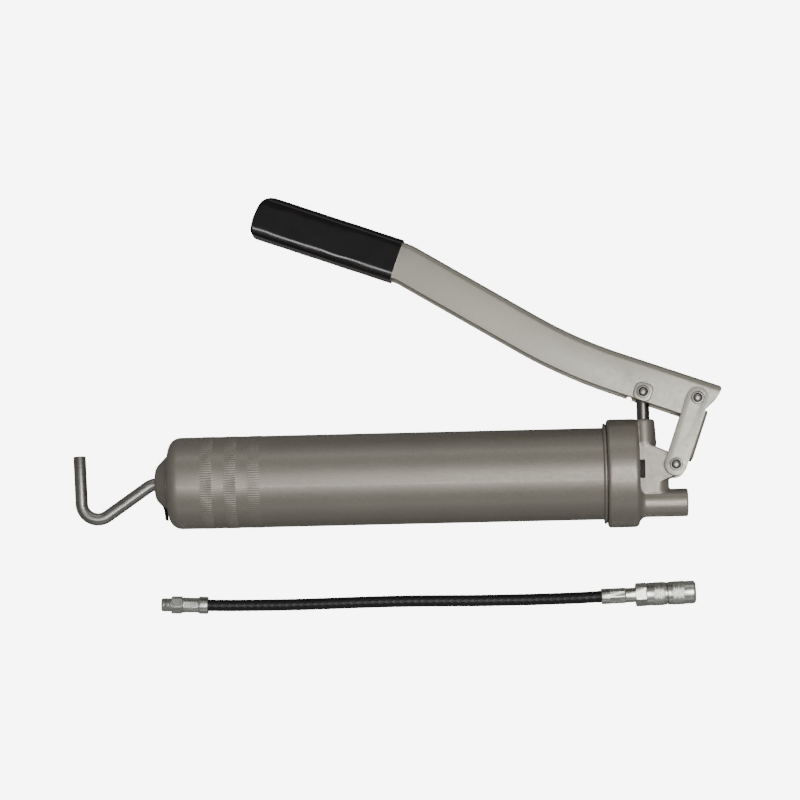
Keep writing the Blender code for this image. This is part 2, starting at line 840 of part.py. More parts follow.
def coupler_body():
    length = SEAM - 0.15
    corners = [(6.8, 0), (6.8, COUPLER_R), (length, COUPLER_R, 0.3), (length, 4.9), (SEAM + 1.6, 4.9)]
    barrel = turned(rounded([*corners, (SEAM + 1.6, 0)], 2, False), 32)
    tail = round_bar(2.1, 14.0, (-12.0, 0, 0))
    body = joined(barrel, hexagon_bar(14.9, 7.0, 0, radians(20)), tail)
    return cut(body, round_bar(1.4, 60, (-20, 0, 0), steps=16))


def coupler_sleeve():
    outer = COUPLER_R - 0.1
    corners = [
        (SEAM + 0.15, 5.25),
        (SEAM + 0.15, outer, 0.3),
        (COUPLER_LENGTH, outer, 1.6),
        (COUPLER_LENGTH, 3.7),
        (COUPLER_LENGTH - 3.0, 3.7),
        (COUPLER_LENGTH - 3.6, 5.25),
    ]
    return turned(rounded(corners, 2), 32)


def coupler_jaw(index):
    """One of the three jaws that grip a grease nipple."""
    half = radians(54)
    middle = 2 * pi * index / 3
    angles = [middle - half + 2 * half * k / 6 for k in range(7)]
    outline = [(5.0 * cos(a), 5.0 * sin(a)) for a in angles]
    outline += [(3.3 * cos(a), 3.3 * sin(a)) for a in reversed(angles)]
    jaw = prism(outline, 0, 8.2)
    jaw.transform(Matrix.Translation((25.4, 0, 0)) @ Matrix.Rotation(pi / 2, 4, "Y"))
    return jaw


def hose_route():
    """Row-frame points of the hose's centre line, from the first ferrule to the coupler's."""
    start = on_line(HOSE_START_TIP, HOSE_START_YAW, FERRULE_END + GAP)
    end = on_line(COUPLER_BACK, COUPLER_YAW, -CRIMP_LENGTH - GAP)
    return [
        (*start, 0.00545),
        (-0.1097, -0.1501, 0.0050),
        (-0.0947, -0.1504, 0.0042),
        (-0.0787, -0.1506, 0.0038),
        (-0.0617, -0.1506, 0.0037),
        (-0.0437, -0.1504, 0.0037),
        (-0.0257, -0.1502, 0.0037),
        (-0.0077, -0.1501, 0.0037),
        (0.0103, -0.1502, 0.0037),
        (0.0283, -0.1505, 0.0037),
        (0.0463, -0.1508, 0.0037),
        (0.0643, -0.1509, 0.0038),
        (0.0813, -0.1509, 0.0044),
        (0.0973, -0.1507, 0.0055),
        (0.1113, -0.1504, 0.0067),
        (*end, 0.00750),
    ]


def hose_tube(bench):
    """POLY curve through points read from a smooth line through the route."""
    route = [Vector(point) for point in hose_route()]
    ends = [route[0] * 2 - route[1], *route, route[-1] * 2 - route[-2]]
    points = []
    for index in range(1, len(ends) - 2):
        p0, p1, p2, p3 = ends[index - 1 : index + 3]
        for share in (0.0, 0.5):
            bend = (p2 - p0) * share + (2 * p0 - 5 * p1 + 4 * p2 - p3) * share**2
            points.append(p1 + (bend + (3 * p1 - p0 - 3 * p2 + p3) * share**3) / 2)
    points.append(route[-1])
    curve = bpy.data.curves.new("hose_tube", "CURVE")
    curve.dimensions = "3D"
    spline = curve.splines.new("POLY")
    spline.points.add(len(points) - 1)
    for target, point in zip(spline.points, points):
        target.co = (*point, 1)
    curve.bevel_depth = HOSE_R * MM
    curve.bevel_resolution = 3
    curve.use_fill_caps = True
    curve.materials.append(bench.finishes["hose_cover"])
    made = bpy.data.objects.new("hose_tube", curve)
    made.parent = bench.markers["hose"]
    bpy.context.scene.collection.objects.link(made)


def add_hose(bench):
    start = {"place": HOSE_START_TIP, "height": START_COLLAR_R, "yaw": HOSE_START_YAW}
    end = {"place": COUPLER_BACK, "height": COUPLER_R, "yaw": COUPLER_YAW}
    bench.piece("hose_end_fitting", laid(hose_end_fitting(), **start), "hose", "zinc_plate")
    bench.piece("hose_end_ferrule", laid(hose_end_ferrule(), **start), "hose", "zinc_plate")
    hose_tube(bench)
    bench.piece("coupler_ferrule", laid(coupler_ferrule(), **end), "hose", "zinc_plate")
    bench.piece("coupler_body", laid(coupler_body(), **end), "hose", "zinc_plate")
    seal = ring(1.5, 4.9, 2.6, (SEAM + 2.2, 0, 0))
    bench.piece("coupler_seal", laid(seal, **end), "hose", "black_rubber")
    for index in range(3):
        jaw = laid(coupler_jaw(index), **end)
        bench.piece(f"coupler_jaw_{index + 1}", jaw, "hose", STEEL)
    sleeve = laid(coupler_sleeve(), **end)
    bench.piece("coupler_sleeve", sleeve, "coupler_sleeve", "zinc_plate")


# ------------------------------------------------------------ lying at rest


def gun_points(bench, names=None):
    """Vertices of the gun's meshes, in its own axes and metres."""
    found = []
    home = bench.markers["head"].matrix_world.inverted()
    for made in bpy.context.scene.objects:
        if made.type == "MESH" and (names is None or made.name in names):
            to_gun = home @ made.matrix_world
            found += [to_gun @ vertex.co for vertex in made.data.vertices]
    return found


def rest_turn(roll):
    """Rolls the lever's side down, then lifts the head, whose rim is larger than the barrel."""
    span = HEAD_REAR - (BARREL_REAR + SHOULDER_R)
    pitch = atan2(HEAD_R - BARREL_R, span)
    return Matrix.Rotation(-pitch, 4, "Y") @ Matrix.Rotation(-roll, 4, "X")


def lowest(points, turn):
    return min((turn @ point).z for point in points)


def rest_roll(bench):
    """Roll at which the head's rim, the barrel's rear edge and the grip all touch the surface."""
    grip = gun_points(bench, {"lever_grip"})
    body = gun_points(bench, {"pump_head", "barrel_tube"})
    low, high = 0.0, radians(20)
    for _ in range(30):
        roll = (low + high) / 2
        turn = rest_turn(roll)
        if lowest(grip, turn) > lowest(body, turn):
            low = roll
        else:
            high = roll
    return roll


def lie_down(bench, gun):
    """Turns the gun to its rest, and centres its box over the row's origin."""
    bpy.context.view_layer.update()
    turn = rest_turn(rest_roll(bench))
    placed = [turn @ point for point in gun_points(bench)]
    middle = [(min(p[k] for p in placed) + max(p[k] for p in placed)) / 2 for k in (0, 1)]
    floor = min(point.z for point in placed)
    gun.matrix_world = Matrix.Translation((-middle[0], -middle[1], -floor)) @ turn


def build():
    for old in list(bpy.data.objects):
        bpy.data.objects.remove(old)
    bench = Bench()
    bench.body("head")
    bench.body("check_valve", (VALVE_SEAT + 2.0, OUTLET_V, 0), "head")
    bench.body("plunger", (*PLUNGER_PIN, 0), "head")
    bench.body("lever", (*PLUNGER_PIN, 0), "plunger")
    bench.body("link", (*LINK_LOWER_PIN, 0), "head")
    bench.body("barrel", (BARREL_FRONT, 0, 0), "head")
    bench.body("rod_lock", (*LOCK_PIVOT, 0), "barrel")
    bench.body("follower", (FOLLOWER_FRONT, 0, 0), "barrel")
    bench.body("rod", (FOLLOWER_FRONT, 0, 0), "follower")
    add_head(bench)
    add_plunger(bench)
    add_lever(bench)
    add_link(bench)
    add_barrel(bench)
    add_follower(bench)
    lie_down(bench, bench.markers["head"])
    bench.body("hose")
    turn_at = on_line(COUPLER_BACK, COUPLER_YAW, SEAM)
    bench.body("coupler_sleeve", (turn_at[0] / MM, turn_at[1] / MM, COUPLER_R), "hose")
    add_hose(bench)


build()
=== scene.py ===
"""Looks of the grease gun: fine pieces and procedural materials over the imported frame.

Pieces are drawn in the gun's own axes, in millimetres: u along the barrel towards the head, v across
it in the lever's plane and w square to that plane, with u = v = w = 0 where the plunger's axis crosses
the barrel's. GUN takes them to the row frame. A hose fitting is drawn along its own +X.
"""

import json
from math import acos, atan2, cos, pi, radians, sin, tan

import bmesh
import bpy
from mathutils import Matrix, Vector, noise

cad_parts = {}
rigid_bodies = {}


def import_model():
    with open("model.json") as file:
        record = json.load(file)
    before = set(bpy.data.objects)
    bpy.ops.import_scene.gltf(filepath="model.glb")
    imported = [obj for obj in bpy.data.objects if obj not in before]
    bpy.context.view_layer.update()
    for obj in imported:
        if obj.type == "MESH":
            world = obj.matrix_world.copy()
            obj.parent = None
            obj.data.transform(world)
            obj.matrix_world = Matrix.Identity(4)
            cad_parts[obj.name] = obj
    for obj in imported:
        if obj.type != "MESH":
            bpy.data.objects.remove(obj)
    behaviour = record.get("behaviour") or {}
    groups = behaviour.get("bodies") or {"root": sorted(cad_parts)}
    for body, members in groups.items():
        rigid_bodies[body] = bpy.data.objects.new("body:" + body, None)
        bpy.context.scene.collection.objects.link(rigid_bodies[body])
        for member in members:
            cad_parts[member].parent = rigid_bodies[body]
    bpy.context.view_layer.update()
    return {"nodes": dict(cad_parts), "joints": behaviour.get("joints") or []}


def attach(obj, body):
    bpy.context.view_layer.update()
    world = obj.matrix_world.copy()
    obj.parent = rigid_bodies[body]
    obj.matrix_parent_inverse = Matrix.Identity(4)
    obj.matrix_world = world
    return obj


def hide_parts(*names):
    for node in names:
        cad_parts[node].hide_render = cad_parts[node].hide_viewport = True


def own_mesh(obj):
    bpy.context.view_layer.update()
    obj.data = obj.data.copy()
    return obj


for startup in list(bpy.data.objects):
    bpy.data.objects.remove(startup)

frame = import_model()

MM = 0.001
ALONG = (1, 0, 0)
ACROSS = (0, 1, 0)
SIDEWAYS = (0, 0, 1)
JOINTS = {joint["name"]: joint for joint in frame["joints"]}

# Driving sizes, in millimetres. They are the CAD's, but for LEVER_TAIL: here the lever ends sooner
# inside its grip, so that the grip's round corner covers it.
BARREL_R = 28.5
BARREL_WALL = 1.2
BARREL_REAR = -295.4
BARREL_FRONT = -10.5
HEAD_R = 33.6
HEAD_REAR = -23.4
HEAD_FACE = -3.9
HEAD_INNER_FACE = -8.5
SOCKET_R = 29.3
OUTLET_V = -18.9
OUTLET_R = 8.7
OUTLET_END = 26.3
PLUNGER_R = 4.0
PLUNGER_HOLE_R = 4.3
PLUNGER_PIN = Vector((0.0, 49.5))
UPPER_PIN = Vector((33.5, 44.9))
LOWER_PIN = Vector((19.05, 3.95))
PIN_R = 2.45
PIN_HOLE_R = 2.75
ROD_R = 3.9
ROD_HOLE_R = 4.3
HOSE_R = 3.7
LEVER_TILT = radians(19.7)
LEVER_MIDDLE_TILT = radians(31.2)
LEVER_NOSE = 13.0
LEVER_FRONT = 83.5
LEVER_MIDDLE = 118.5
LEVER_TAIL = 89.0
LEVER_HALF = 9.5
LEVER_SHEET = 1.8
LEVER_HALF_DEPTH = 12.15
LINK_HALF = 12.0
LINK_SHEET = 2.2


def gun_matrix():
    """Takes the gun's axes, in millimetres, to the row frame, by the joints' axes."""
    along = -Vector(JOINTS["barrel_release"]["axis"]).normalized()
    across = Vector(JOINTS["plunger_slide"]["axis"]).normalized()
    side = along.cross(across)
    start = Vector(JOINTS["lever_pivot"]["pos_m"]) - across * PLUNGER_PIN.y * MM
    turn = Matrix((along, across, side)).transposed().to_4x4()
    return Matrix.Translation(start) @ turn @ Matrix.Scale(MM, 4)


GUN = gun_matrix()


# ------------------------------------------------------------- materials


class Nodes:
    """A short way to write a Principled material's node tree."""

    def __init__(self, name, colour, metallic=0.0, roughness=0.5, **sockets):
        self.material = bpy.data.materials.new(name)
        self.material.use_nodes = True
        self.tree = self.material.node_tree
        self.shader = self.tree.nodes["Principled BSDF"]
        self.shader.inputs["Base Color"].default_value = (*colour, 1)
        self.shader.inputs["Metallic"].default_value = metallic
        self.shader.inputs["Roughness"].default_value = roughness
        for socket, value in sockets.items():
            self.shader.inputs[socket.replace("_", " ")].default_value = value
        self.colour = colour
        self.bumps = None

    def add(self, kind, **inputs):
        node = self.tree.nodes.new(kind)
        for name, value in inputs.items():
            socket = node.inputs[name.replace("_", " ")]
            if isinstance(value, bpy.types.NodeSocket):
                self.tree.links.new(value, socket)
            else:
                socket.default_value = value
        return node

    def noise(self, scale, detail, roughness=0.55, stretch=(1, 1, 1)):
        """Noise in the piece's own metres, its grains longer where the stretch is under 1."""
        where = self.add("ShaderNodeTexCoord").outputs["Object"]
        place = self.add("ShaderNodeMapping", Vector=where, Scale=stretch).outputs["Vector"]
        made = self.add("ShaderNodeTexNoise", Vector=place, Scale=scale, Detail=detail, Roughness=roughness)
        return made.outputs["Fac"]

    def ranged(self, value, low, high, start, end):
        node = self.add("ShaderNodeMapRange", Value=value)
        node.inputs["From Min"].default_value = start
        node.inputs["From Max"].default_value = end
        node.inputs["To Min"].default_value = low
        node.inputs["To Max"].default_value = high
        return node.outputs["Result"]

    def mixed(self, factor, first, second):
        """Mixes two colours. A Mix node has a pair of sockets for each kind of value."""
        colour_a, colour_b, colour_result = 6, 7, 2
        node = self.add("ShaderNodeMix")
        node.data_type = "RGBA"
        self.tree.links.new(factor, node.inputs["Factor"])
        for index, value in ((colour_a, first), (colour_b, second)):
            if isinstance(value, bpy.types.NodeSocket):
                self.tree.links.new(value, node.inputs[index])
            else:
                node.inputs[index].default_value = (*value, 1)
        return node.outputs[colour_result]

    def rough(self, value, low, high):
        self.tree.links.new(self.ranged(value, low, high, 0.3, 0.7), self.shader.inputs["Roughness"])

    def coloured(self, factor, other, strength, start, end):
        """Mixes the colour so far towards another, as the factor goes from start to end."""
        share = self.ranged(factor, 0.0, strength, start, end)
        self.colour = self.mixed(share, self.colour, other)
        self.tree.links.new(self.colour, self.shader.inputs["Base Color"])

    def bump(self, height, distance, strength):
        """Adds a relief of so many metres on top of the ones before it."""
        node = self.add("ShaderNodeBump", Height=height, Distance=distance, Strength=strength)
        if self.bumps:
            self.tree.links.new(self.bumps, node.inputs["Normal"])
        self.bumps = node.outputs["Normal"]
        self.tree.links.new(self.bumps, self.shader.inputs["Normal"])


def metallic_paint(name, colour, dark, roughness):
    """Satin paint under a thin clear coat, with a fine metallic flake in it."""
    paint = Nodes(name, colour, 0.6, roughness, Coat_Weight=0.3, Coat_Roughness=0.12)
    paint.coloured(paint.noise(22, 4), dark, 0.22, 0.42, 0.72)
    paint.coloured(paint.noise(1500, 1), tuple(1.35 * c for c in colour), 0.30, 0.52, 0.75)
    grain = paint.noise(420, 3)
    paint.rough(grain, roughness - 0.05, roughness + 0.07)
    paint.bump(grain, 0.00005, 0.35)
    paint.bump(paint.noise(2200, 1), 0.00002, 0.35)
    return paint.material


def drawn_steel(name, colour, roughness, stretch):
    """Bright bar with fine drawing marks along it."""
    steel = Nodes(name, colour, 1.0, roughness)
    marks = steel.noise(900, 3, 0.6, stretch)
    steel.coloured(steel.noise(60, 3), tuple(0.55 * c for c in colour), 0.5, 0.45, 0.75)
    steel.rough(marks, roughness - 0.07, roughness + 0.12)
    steel.bump(marks, 0.00003, 0.4)
    return steel.material


def zinc_plating():
    """Bright zinc with turning marks and a faint warm bloom."""
    zinc = Nodes("zinc_finish", (0.86, 0.87, 0.82), 1.0, 0.2)
    zinc.coloured(zinc.noise(140, 3), (0.60, 0.58, 0.46), 0.5, 0.45, 0.75)
    rings = zinc.noise(600, 2, 0.6, (6, 0.6, 0.6))
    zinc.rough(rings, 0.20, 0.38)
    zinc.bump(rings, 0.00003, 0.35)
    return zinc.material


def dipped_vinyl():
    """Thick glossy skin, slightly uneven, with dust-fine scuffs."""
    gloss = {"Specular_IOR_Level": 0.3, "Coat_Weight": 0.35, "Coat_Roughness": 0.03}
    vinyl = Nodes("vinyl_finish", (0.0095, 0.0078, 0.0078), 0.0, 0.1, **gloss)
    vinyl.coloured(vinyl.noise(90, 4), (0.018, 0.015, 0.015), 0.6, 0.45, 0.7)
    vinyl.rough(vinyl.noise(60, 3), 0.06, 0.16)
    vinyl.bump(vinyl.noise(45, 1), 0.0003, 0.25)
    return vinyl.material


def matt_rubber():
    rubber = Nodes("rubber_finish", (0.016, 0.016, 0.016), 0.0, 0.55)
    grain = rubber.noise(1300, 3)
    rubber.coloured(rubber.noise(60, 3), (0.035, 0.034, 0.032), 0.6, 0.45, 0.75)
    rubber.rough(grain, 0.45, 0.68)
    rubber.bump(grain, 0.00006, 0.6)
    return rubber.material


def hose_cloth():
    """Black braided cover. The braid's relief is in the mesh; this adds its fibres."""
    cloth = Nodes("hose_finish", (0.010, 0.009, 0.009), 0.0, 0.45, Sheen_Weight=0.06, Sheen_Roughness=0.5)
    fibres = cloth.noise(2400, 2)
    cloth.coloured(cloth.noise(300, 3), (0.024, 0.021, 0.021), 0.6, 0.45, 0.75)
    cloth.rough(fibres, 0.32, 0.55)
    cloth.bump(fibres, 0.00004, 0.5)
    return cloth.material


def dark_metal(name, colour, roughness=0.42):
    metal = Nodes(name, colour, 0.9, roughness)
    grain = metal.noise(700, 3)
    metal.coloured(metal.noise(50, 3), tuple(1.9 * c for c in colour), 0.6, 0.45, 0.75)
    metal.rough(grain, roughness - 0.08, roughness + 0.12)
    metal.bump(grain, 0.00004, 0.4)
    return metal.material


FINISH = {
    "barrel_paint": metallic_paint("barrel_paint_finish", (0.385, 0.357, 0.303), (0.305, 0.28, 0.235), 0.42),
    "lever_paint": metallic_paint("lever_paint_finish", (0.435, 0.42, 0.35), (0.355, 0.34, 0.283), 0.37),
    "bright_steel": drawn_steel("bright_steel_finish", (0.47, 0.455, 0.425), 0.30, (0.08, 1, 1)),
    "plunger_steel": drawn_steel("plunger_finish", (0.28, 0.267, 0.245), 0.27, (1, 0.08, 1)),
    "clip_steel": drawn_steel("clip_steel_finish", (0.27, 0.26, 0.235), 0.33, (1, 1, 0.2)),
    "pin_steel": drawn_steel("pin_steel_finish", (0.60, 0.58, 0.54), 0.33, (1, 1, 0.2)),
    "zinc_plate": zinc_plating(),
    "spring_steel": dark_metal("spring_steel_finish", (0.22, 0.22, 0.23), 0.34),
    "dark_steel": dark_metal("dark_steel_finish", (0.035, 0.033, 0.032)),
    "black_vinyl": dipped_vinyl(),
    "black_rubber": matt_rubber(),
    "hose_cover": hose_cloth(),
}


# -------------------------------------------------------------- outlines


def arc(centre, first, last, steps):
    turn = first.angle(last)
    points = []
    for step in range(steps + 1):
        share = step / steps
        offset = first * sin((1 - share) * turn) + last * sin(share * turn)
        points.append(centre + offset / sin(turn))
    return points


def rounded(corners, steps=6, closed=True):
    """Outline through corners of (x, y) or (x, y, radius)."""
    points = [Vector(corner[:2]) for corner in corners]
    outline = []
    for index, corner in enumerate(corners):
        here = points[index]
        at_end = not closed and index in (0, len(corners) - 1)
        if len(corner) < 3 or at_end:
            outline.append(here)
            continue
        before = (points[index - 1] - here).normalized()
        after = (points[(index + 1) % len(points)] - here).normalized()
        half = before.angle(after) / 2
        reach = corner[2] / tan(half)
        centre = here + (before + after).normalized() * (corner[2] / sin(half))
        outline += arc(centre, here + before * reach - centre, here + after * reach - centre, steps)
    return outline


def tangent_point(point, centre, radius, side):
    """Where a line from the point touches the circle, on its left (1) or right (-1)."""
    towards = point - centre
    half = acos(radius / towards.length)
    angle = atan2(towards.y, towards.x) - side * half
    return centre + radius * Vector((cos(angle), sin(angle)))


# ---------------------------------------------------------------- shapes


def closed_up(shape):
    bmesh.ops.recalc_face_normals(shape, faces=shape.faces)
    return shape


def facing(start, axis):
    turn = Vector(ALONG).rotation_difference(Vector(axis))
    return Matrix.Translation(start) @ turn.to_matrix().to_4x4()


def turned(profile, steps=96, start=(0, 0, 0), axis=ALONG, relief=None):
    """Solid of revolution of a closed (along, radius) loop, or of a line from axis to axis.

    relief(along, radius, angle) adds to the radius, for a knurl, a thread or ribs.
    """
    shape = bmesh.new()
    rings = []
    for along, radius in profile:
        if radius == 0:
            rings.append([shape.verts.new((along, 0, 0))] * steps)
            continue
        row = []
        for step in range(steps):
            angle = 2 * pi * step / steps
            r = radius + (relief(along, radius, angle) if relief else 0)
            row.append(shape.verts.new((along, r * cos(angle), r * sin(angle))))
        rings.append(row)
    pairs = list(zip(rings, rings[1:]))
    if profile[0][1] > 0:
        pairs.append((rings[-1], rings[0]))
    for near, far in pairs:
        for step in range(steps):
            following = (step + 1) % steps
            corners = [near[step], near[following], far[following], far[step]]
            shape.faces.new(list(dict.fromkeys(corners)))
    shape.transform(facing(start, axis))
    return closed_up(shape)


def round_bar(radius, length, start=(0, 0, 0), axis=ALONG, steps=64, edge=0.0):
    if not edge:
        return turned([(0, 0), (0, radius), (length, radius), (length, 0)], steps, start, axis)
    corners = [(0, 0), (0, radius, edge), (length, radius, edge), (length, 0)]
    return turned(rounded(corners, 4, False), steps, start, axis)


def cross_hole(radius, place):
    """What a hole along w takes away, right through the piece at (u, v)."""
    return round_bar(radius, 40, (*place, -20), SIDEWAYS)


def ring(inner, outer, length, start=(0, 0, 0), axis=ALONG, steps=64):
    edge = 0.2
    corners = [(0, inner, edge), (0, outer, edge), (length, outer, edge), (length, inner, edge)]
    return turned(rounded(corners, 2), steps, start, axis)


def prism(outline, low, high):
    shape = bmesh.new()
    floor = [shape.verts.new((*point, low)) for point in outline]
    roof = [shape.verts.new((*point, high)) for point in outline]
    shape.faces.new(floor)
    shape.faces.new(roof)
    for index, corner in enumerate(floor):
        shape.faces.new([corner, floor[index - 1], roof[index - 1], roof[index]])
    return closed_up(shape)


def block(low, high):
    outline = [(low[0], low[1]), (high[0], low[1]), (high[0], high[1]), (low[0], high[1])]
    return prism(outline, low[2], high[2])


def swept(path, section):
    """A section of (n, w) points carried along a path in the (u, v) plane; n is to its left."""
    shape = bmesh.new()
    rings = []
    for index, point in enumerate(path):
        before = point - path[index - 1] if index else path[1] - point
        after = path[index + 1] - point if index < len(path) - 1 else before
        heading = (before.normalized() + after.normalized()).normalized()
        left = Vector((-heading.y, heading.x)) / cos(heading.angle(after))
        rings.append([shape.verts.new((*(point + left * n), w)) for n, w in section])
    shape.faces.new(rings[0])
    shape.faces.new(rings[-1])
    for near, far in zip(rings, rings[1:]):
        for index, corner in enumerate(near):
            shape.faces.new([corner, near[index - 1], far[index - 1], far[index]])
    return closed_up(shape)


def coil(radius, wire, start, end, turns):
    """Helical spring about the u axis, from start to end, its wire cut square."""
    steps, sides = 36, 12
    around = [2 * pi * side / sides for side in range(sides)]
    shape = bmesh.new()
    rings = []
    lead = (end - start) / (2 * pi * turns)
    for index in range(round(turns * steps) + 1):
        angle = 2 * pi * index / steps
        outward = Vector((0, cos(angle), sin(angle)))
        heading = Vector((lead, -radius * sin(angle), radius * cos(angle))).normalized()
        sideways = heading.cross(outward)
        centre = outward * radius + Vector((start + lead * angle, 0, 0))
        offsets = [wire * (outward * cos(a) + sideways * sin(a)) for a in around]
        rings.append([shape.verts.new(centre + offset) for offset in offsets])
    shape.faces.new(rings[0])
    shape.faces.new(rings[-1])
    for near, far in zip(rings, rings[1:]):
        for side in range(sides):
            shape.faces.new([near[side], near[side - 1], far[side - 1], far[side]])
    return closed_up(shape)


def helper(shape):
    mesh = bpy.data.meshes.new("helper")
    shape.to_mesh(mesh)
    shape.free()
    made = bpy.data.objects.new("helper", mesh)
    bpy.context.scene.collection.objects.link(made)
    return made


def evaluated(host, *spent):
    """The host as its modifiers leave it. The host and the other helpers are removed."""
    result = bmesh.new()
    result.from_object(host, bpy.context.evaluated_depsgraph_get())
    for old in (host, *spent):
        bpy.data.objects.remove(old)
    return result


def combined(operation, base, tools):
    host = helper(base)
    others = [helper(tool) for tool in tools]
    for other in others:
        change = host.modifiers.new(operation, "BOOLEAN")
        change.operation = operation
        change.object = other
    return evaluated(host, *others)


def joined(base, *tools):
    return combined("UNION", base, tools)


def cut(base, *tools):
    return combined("DIFFERENCE", base, tools)


def common(base, *tools):
    return combined("INTERSECT", base, tools)


def bevelled(base, width, segments=3, limit=35):
    host = helper(base)
    change = host.modifiers.new("rounding", "BEVEL")
    change.width = width
    change.segments = segments
    change.limit_method = "ANGLE"
    change.angle_limit = radians(limit)
    return evaluated(host)


def cast(base, voxel, passes):
    """Remeshed and smoothed, so that every edge and inner corner has a small radius, as in a casting."""
    host = helper(base)
    remesh = host.modifiers.new("remesh", "REMESH")
    remesh.mode = "VOXEL"
    remesh.voxel_size = voxel
    smooth = host.modifiers.new("smooth", "SMOOTH")
    smooth.factor = 0.5
    smooth.iterations = passes
    return evaluated(host)


def mirrored(shape, axis):
    shape.transform(Matrix.Scale(-1, 4, axis))
    bmesh.ops.reverse_faces(shape, faces=shape.faces)
    return shape


# ---------------------------------------------------------------- pieces


def piece(name, shape, body, slot, nodes=(), place=GUN, sharp=32, finish=None):
    """A finished piece that rides on a body and stands for CAD nodes, in its slot's finish or another."""
    shape.transform(place)
    mesh = bpy.data.meshes.new(name)
    shape.to_mesh(mesh)
    shape.free()
    mesh.shade_smooth()
    mesh.set_sharp_from_angle(angle=radians(sharp))
    mesh.materials.append(FINISH[finish or slot])
    made = bpy.data.objects.new(name, mesh)
    bpy.context.scene.collection.objects.link(made)
    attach(made, body)
    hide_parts(*nodes)
    return made


def carried_over(node, slot):
    """A CAD node that keeps its shape and gets a finish."""
    mesh = frame["nodes"][node].data
    mesh.materials.clear()
    mesh.materials.append(FINISH[slot])


# ---- head


RECESS_LOW = (-3.1, -3.8)
RECESS_HIGH = (0.2, 7.7)
RECESS_DEPTH = 4.9


def head_casting():
    """Cap skirt, plunger column, outlet boss and the plate with the link's ear, all joined."""
    rim = [(HEAD_REAR, SOCKET_R), (HEAD_REAR, HEAD_R, 1.8), (HEAD_FACE, HEAD_R, 2.8)]
    skirt = rounded([(HEAD_INNER_FACE, 0), (HEAD_INNER_FACE, SOCKET_R), *rim, (HEAD_FACE, 0)], 6, False)
    foot = OUTLET_V
    top = 33.2 - foot
    column = [(0, 0), (0, 7.3), (15.0 - foot, 7.3), (18.3 - foot, 7.9), (top, 6.95, 1.7), (top, 0)]
    fillet = 4.5
    flared = [(HEAD_FACE - 2, 0), (HEAD_FACE - 2, OUTLET_R + fillet)]
    flare_steps = 8
    for step in range(flare_steps + 1):
        angle = pi / 2 * step / flare_steps
        flared.append((HEAD_FACE + fillet * (1 - cos(angle)), OUTLET_R + fillet * (1 - sin(angle))))
    boss = [*flared, (OUTLET_END, OUTLET_R, 0.9), (OUTLET_END, 0)]
    shoulder = Vector((1.5, 18.3))
    elbow = Vector((9.8, -6.2))
    ear_r, ear_half = 5.9, 9.5
    upper = tangent_point(shoulder, LOWER_PIN, ear_r, 1)
    lower = tangent_point(elbow, LOWER_PIN, ear_r, -1)
    plate_foot, plate_half = -12.9, 7.4
    plate = [(-5, 18.9), shoulder, upper, lower]
    plate += [(*elbow, 1.5), (7.5, -8, 2), (7.5, plate_foot), (-5, plate_foot)]
    return joined(
        turned(skirt, 128),
        turned(rounded(column, 4, False), 64, (0, foot, 0), ACROSS),
        turned(rounded(boss, 4, False), 80, (0, foot, 0)),
        prism(rounded(plate, 4), -plate_half, plate_half),
        round_bar(plate_half - 0.03, 9.3, (7.55, plate_foot + 0.02, 0), ACROSS),
        round_bar(ear_r, 2 * ear_half, (*LOWER_PIN, -ear_half), SIDEWAYS),
    )


def pump_head():
    """The casting with its plunger bore, its outlet, the ear's pin hole and a recess on each side."""
    outlet = [(-0.7, 0), (-0.7, 1.8), (4, 1.8), (4, 3.2), (12, 3.2), (12, 4.6), (40, 4.6), (40, 0)]
    seat = [(0, 0), (0, 3.0), (1.3, 4.6), (8, 4.6), (8, 0)]
    return cut(
        cast(head_casting(), 0.55, 3),
        round_bar(PLUNGER_HOLE_R, 60, (0, -13, 0), ACROSS),
        turned(outlet, 64, (0, OUTLET_V, 0)),
        turned(seat, 64, (OUTLET_END - 20, OUTLET_V, 0)),
        cross_hole(PIN_HOLE_R, LOWER_PIN),
        block((*RECESS_LOW, RECESS_DEPTH), (*RECESS_HIGH, 12)),
        block((*RECESS_LOW, -12), (*RECESS_HIGH, -RECESS_DEPTH)),
    )


def thread_relief(pitch, depth):
    """A V thread's helix, as an addition to the radius."""

    def relief(along, radius, angle):
        turn = (along / pitch - angle / (2 * pi)) % 1.0
        return depth * (abs(2 * turn - 1) - 0.5)

    return relief


def recess_shade_pad(side):
    """Black pad on the floor of the recess at +w or -w: painted shade, a dark sheet that stands for the
    shadow in the recess.
    """
    gap, thickness = 0.1, 0.65
    floor = RECESS_DEPTH + gap / 2
    low, high = sorted((side * floor, side * (floor + thickness)))
    first = [at + gap for at in RECESS_LOW]
    last = [at - gap for at in RECESS_HIGH]
    return bevelled(block((*first, low), (*last, high)), 0.15, 2)


def outlet_thread():
    """The threaded wall of the outlet, as a thin liner in its bore."""
    start, end, pitch = 13.0, OUTLET_END - 0.9, 1.0
    inner_r, outer_r = 4.35, 4.75
    count = round((end - start) / pitch * 6)
    inner = [(start + (end - start) * k / count, inner_r) for k in range(count + 1)]
    outer = [(end, outer_r), (start, outer_r)]
    helix = thread_relief(pitch, 0.5)

    def relief(along, radius, angle):
        return helix(along, radius, angle) if radius == inner_r else 0.0

    return turned([*inner, *outer], 48, (0, OUTLET_V, 0), relief=relief)


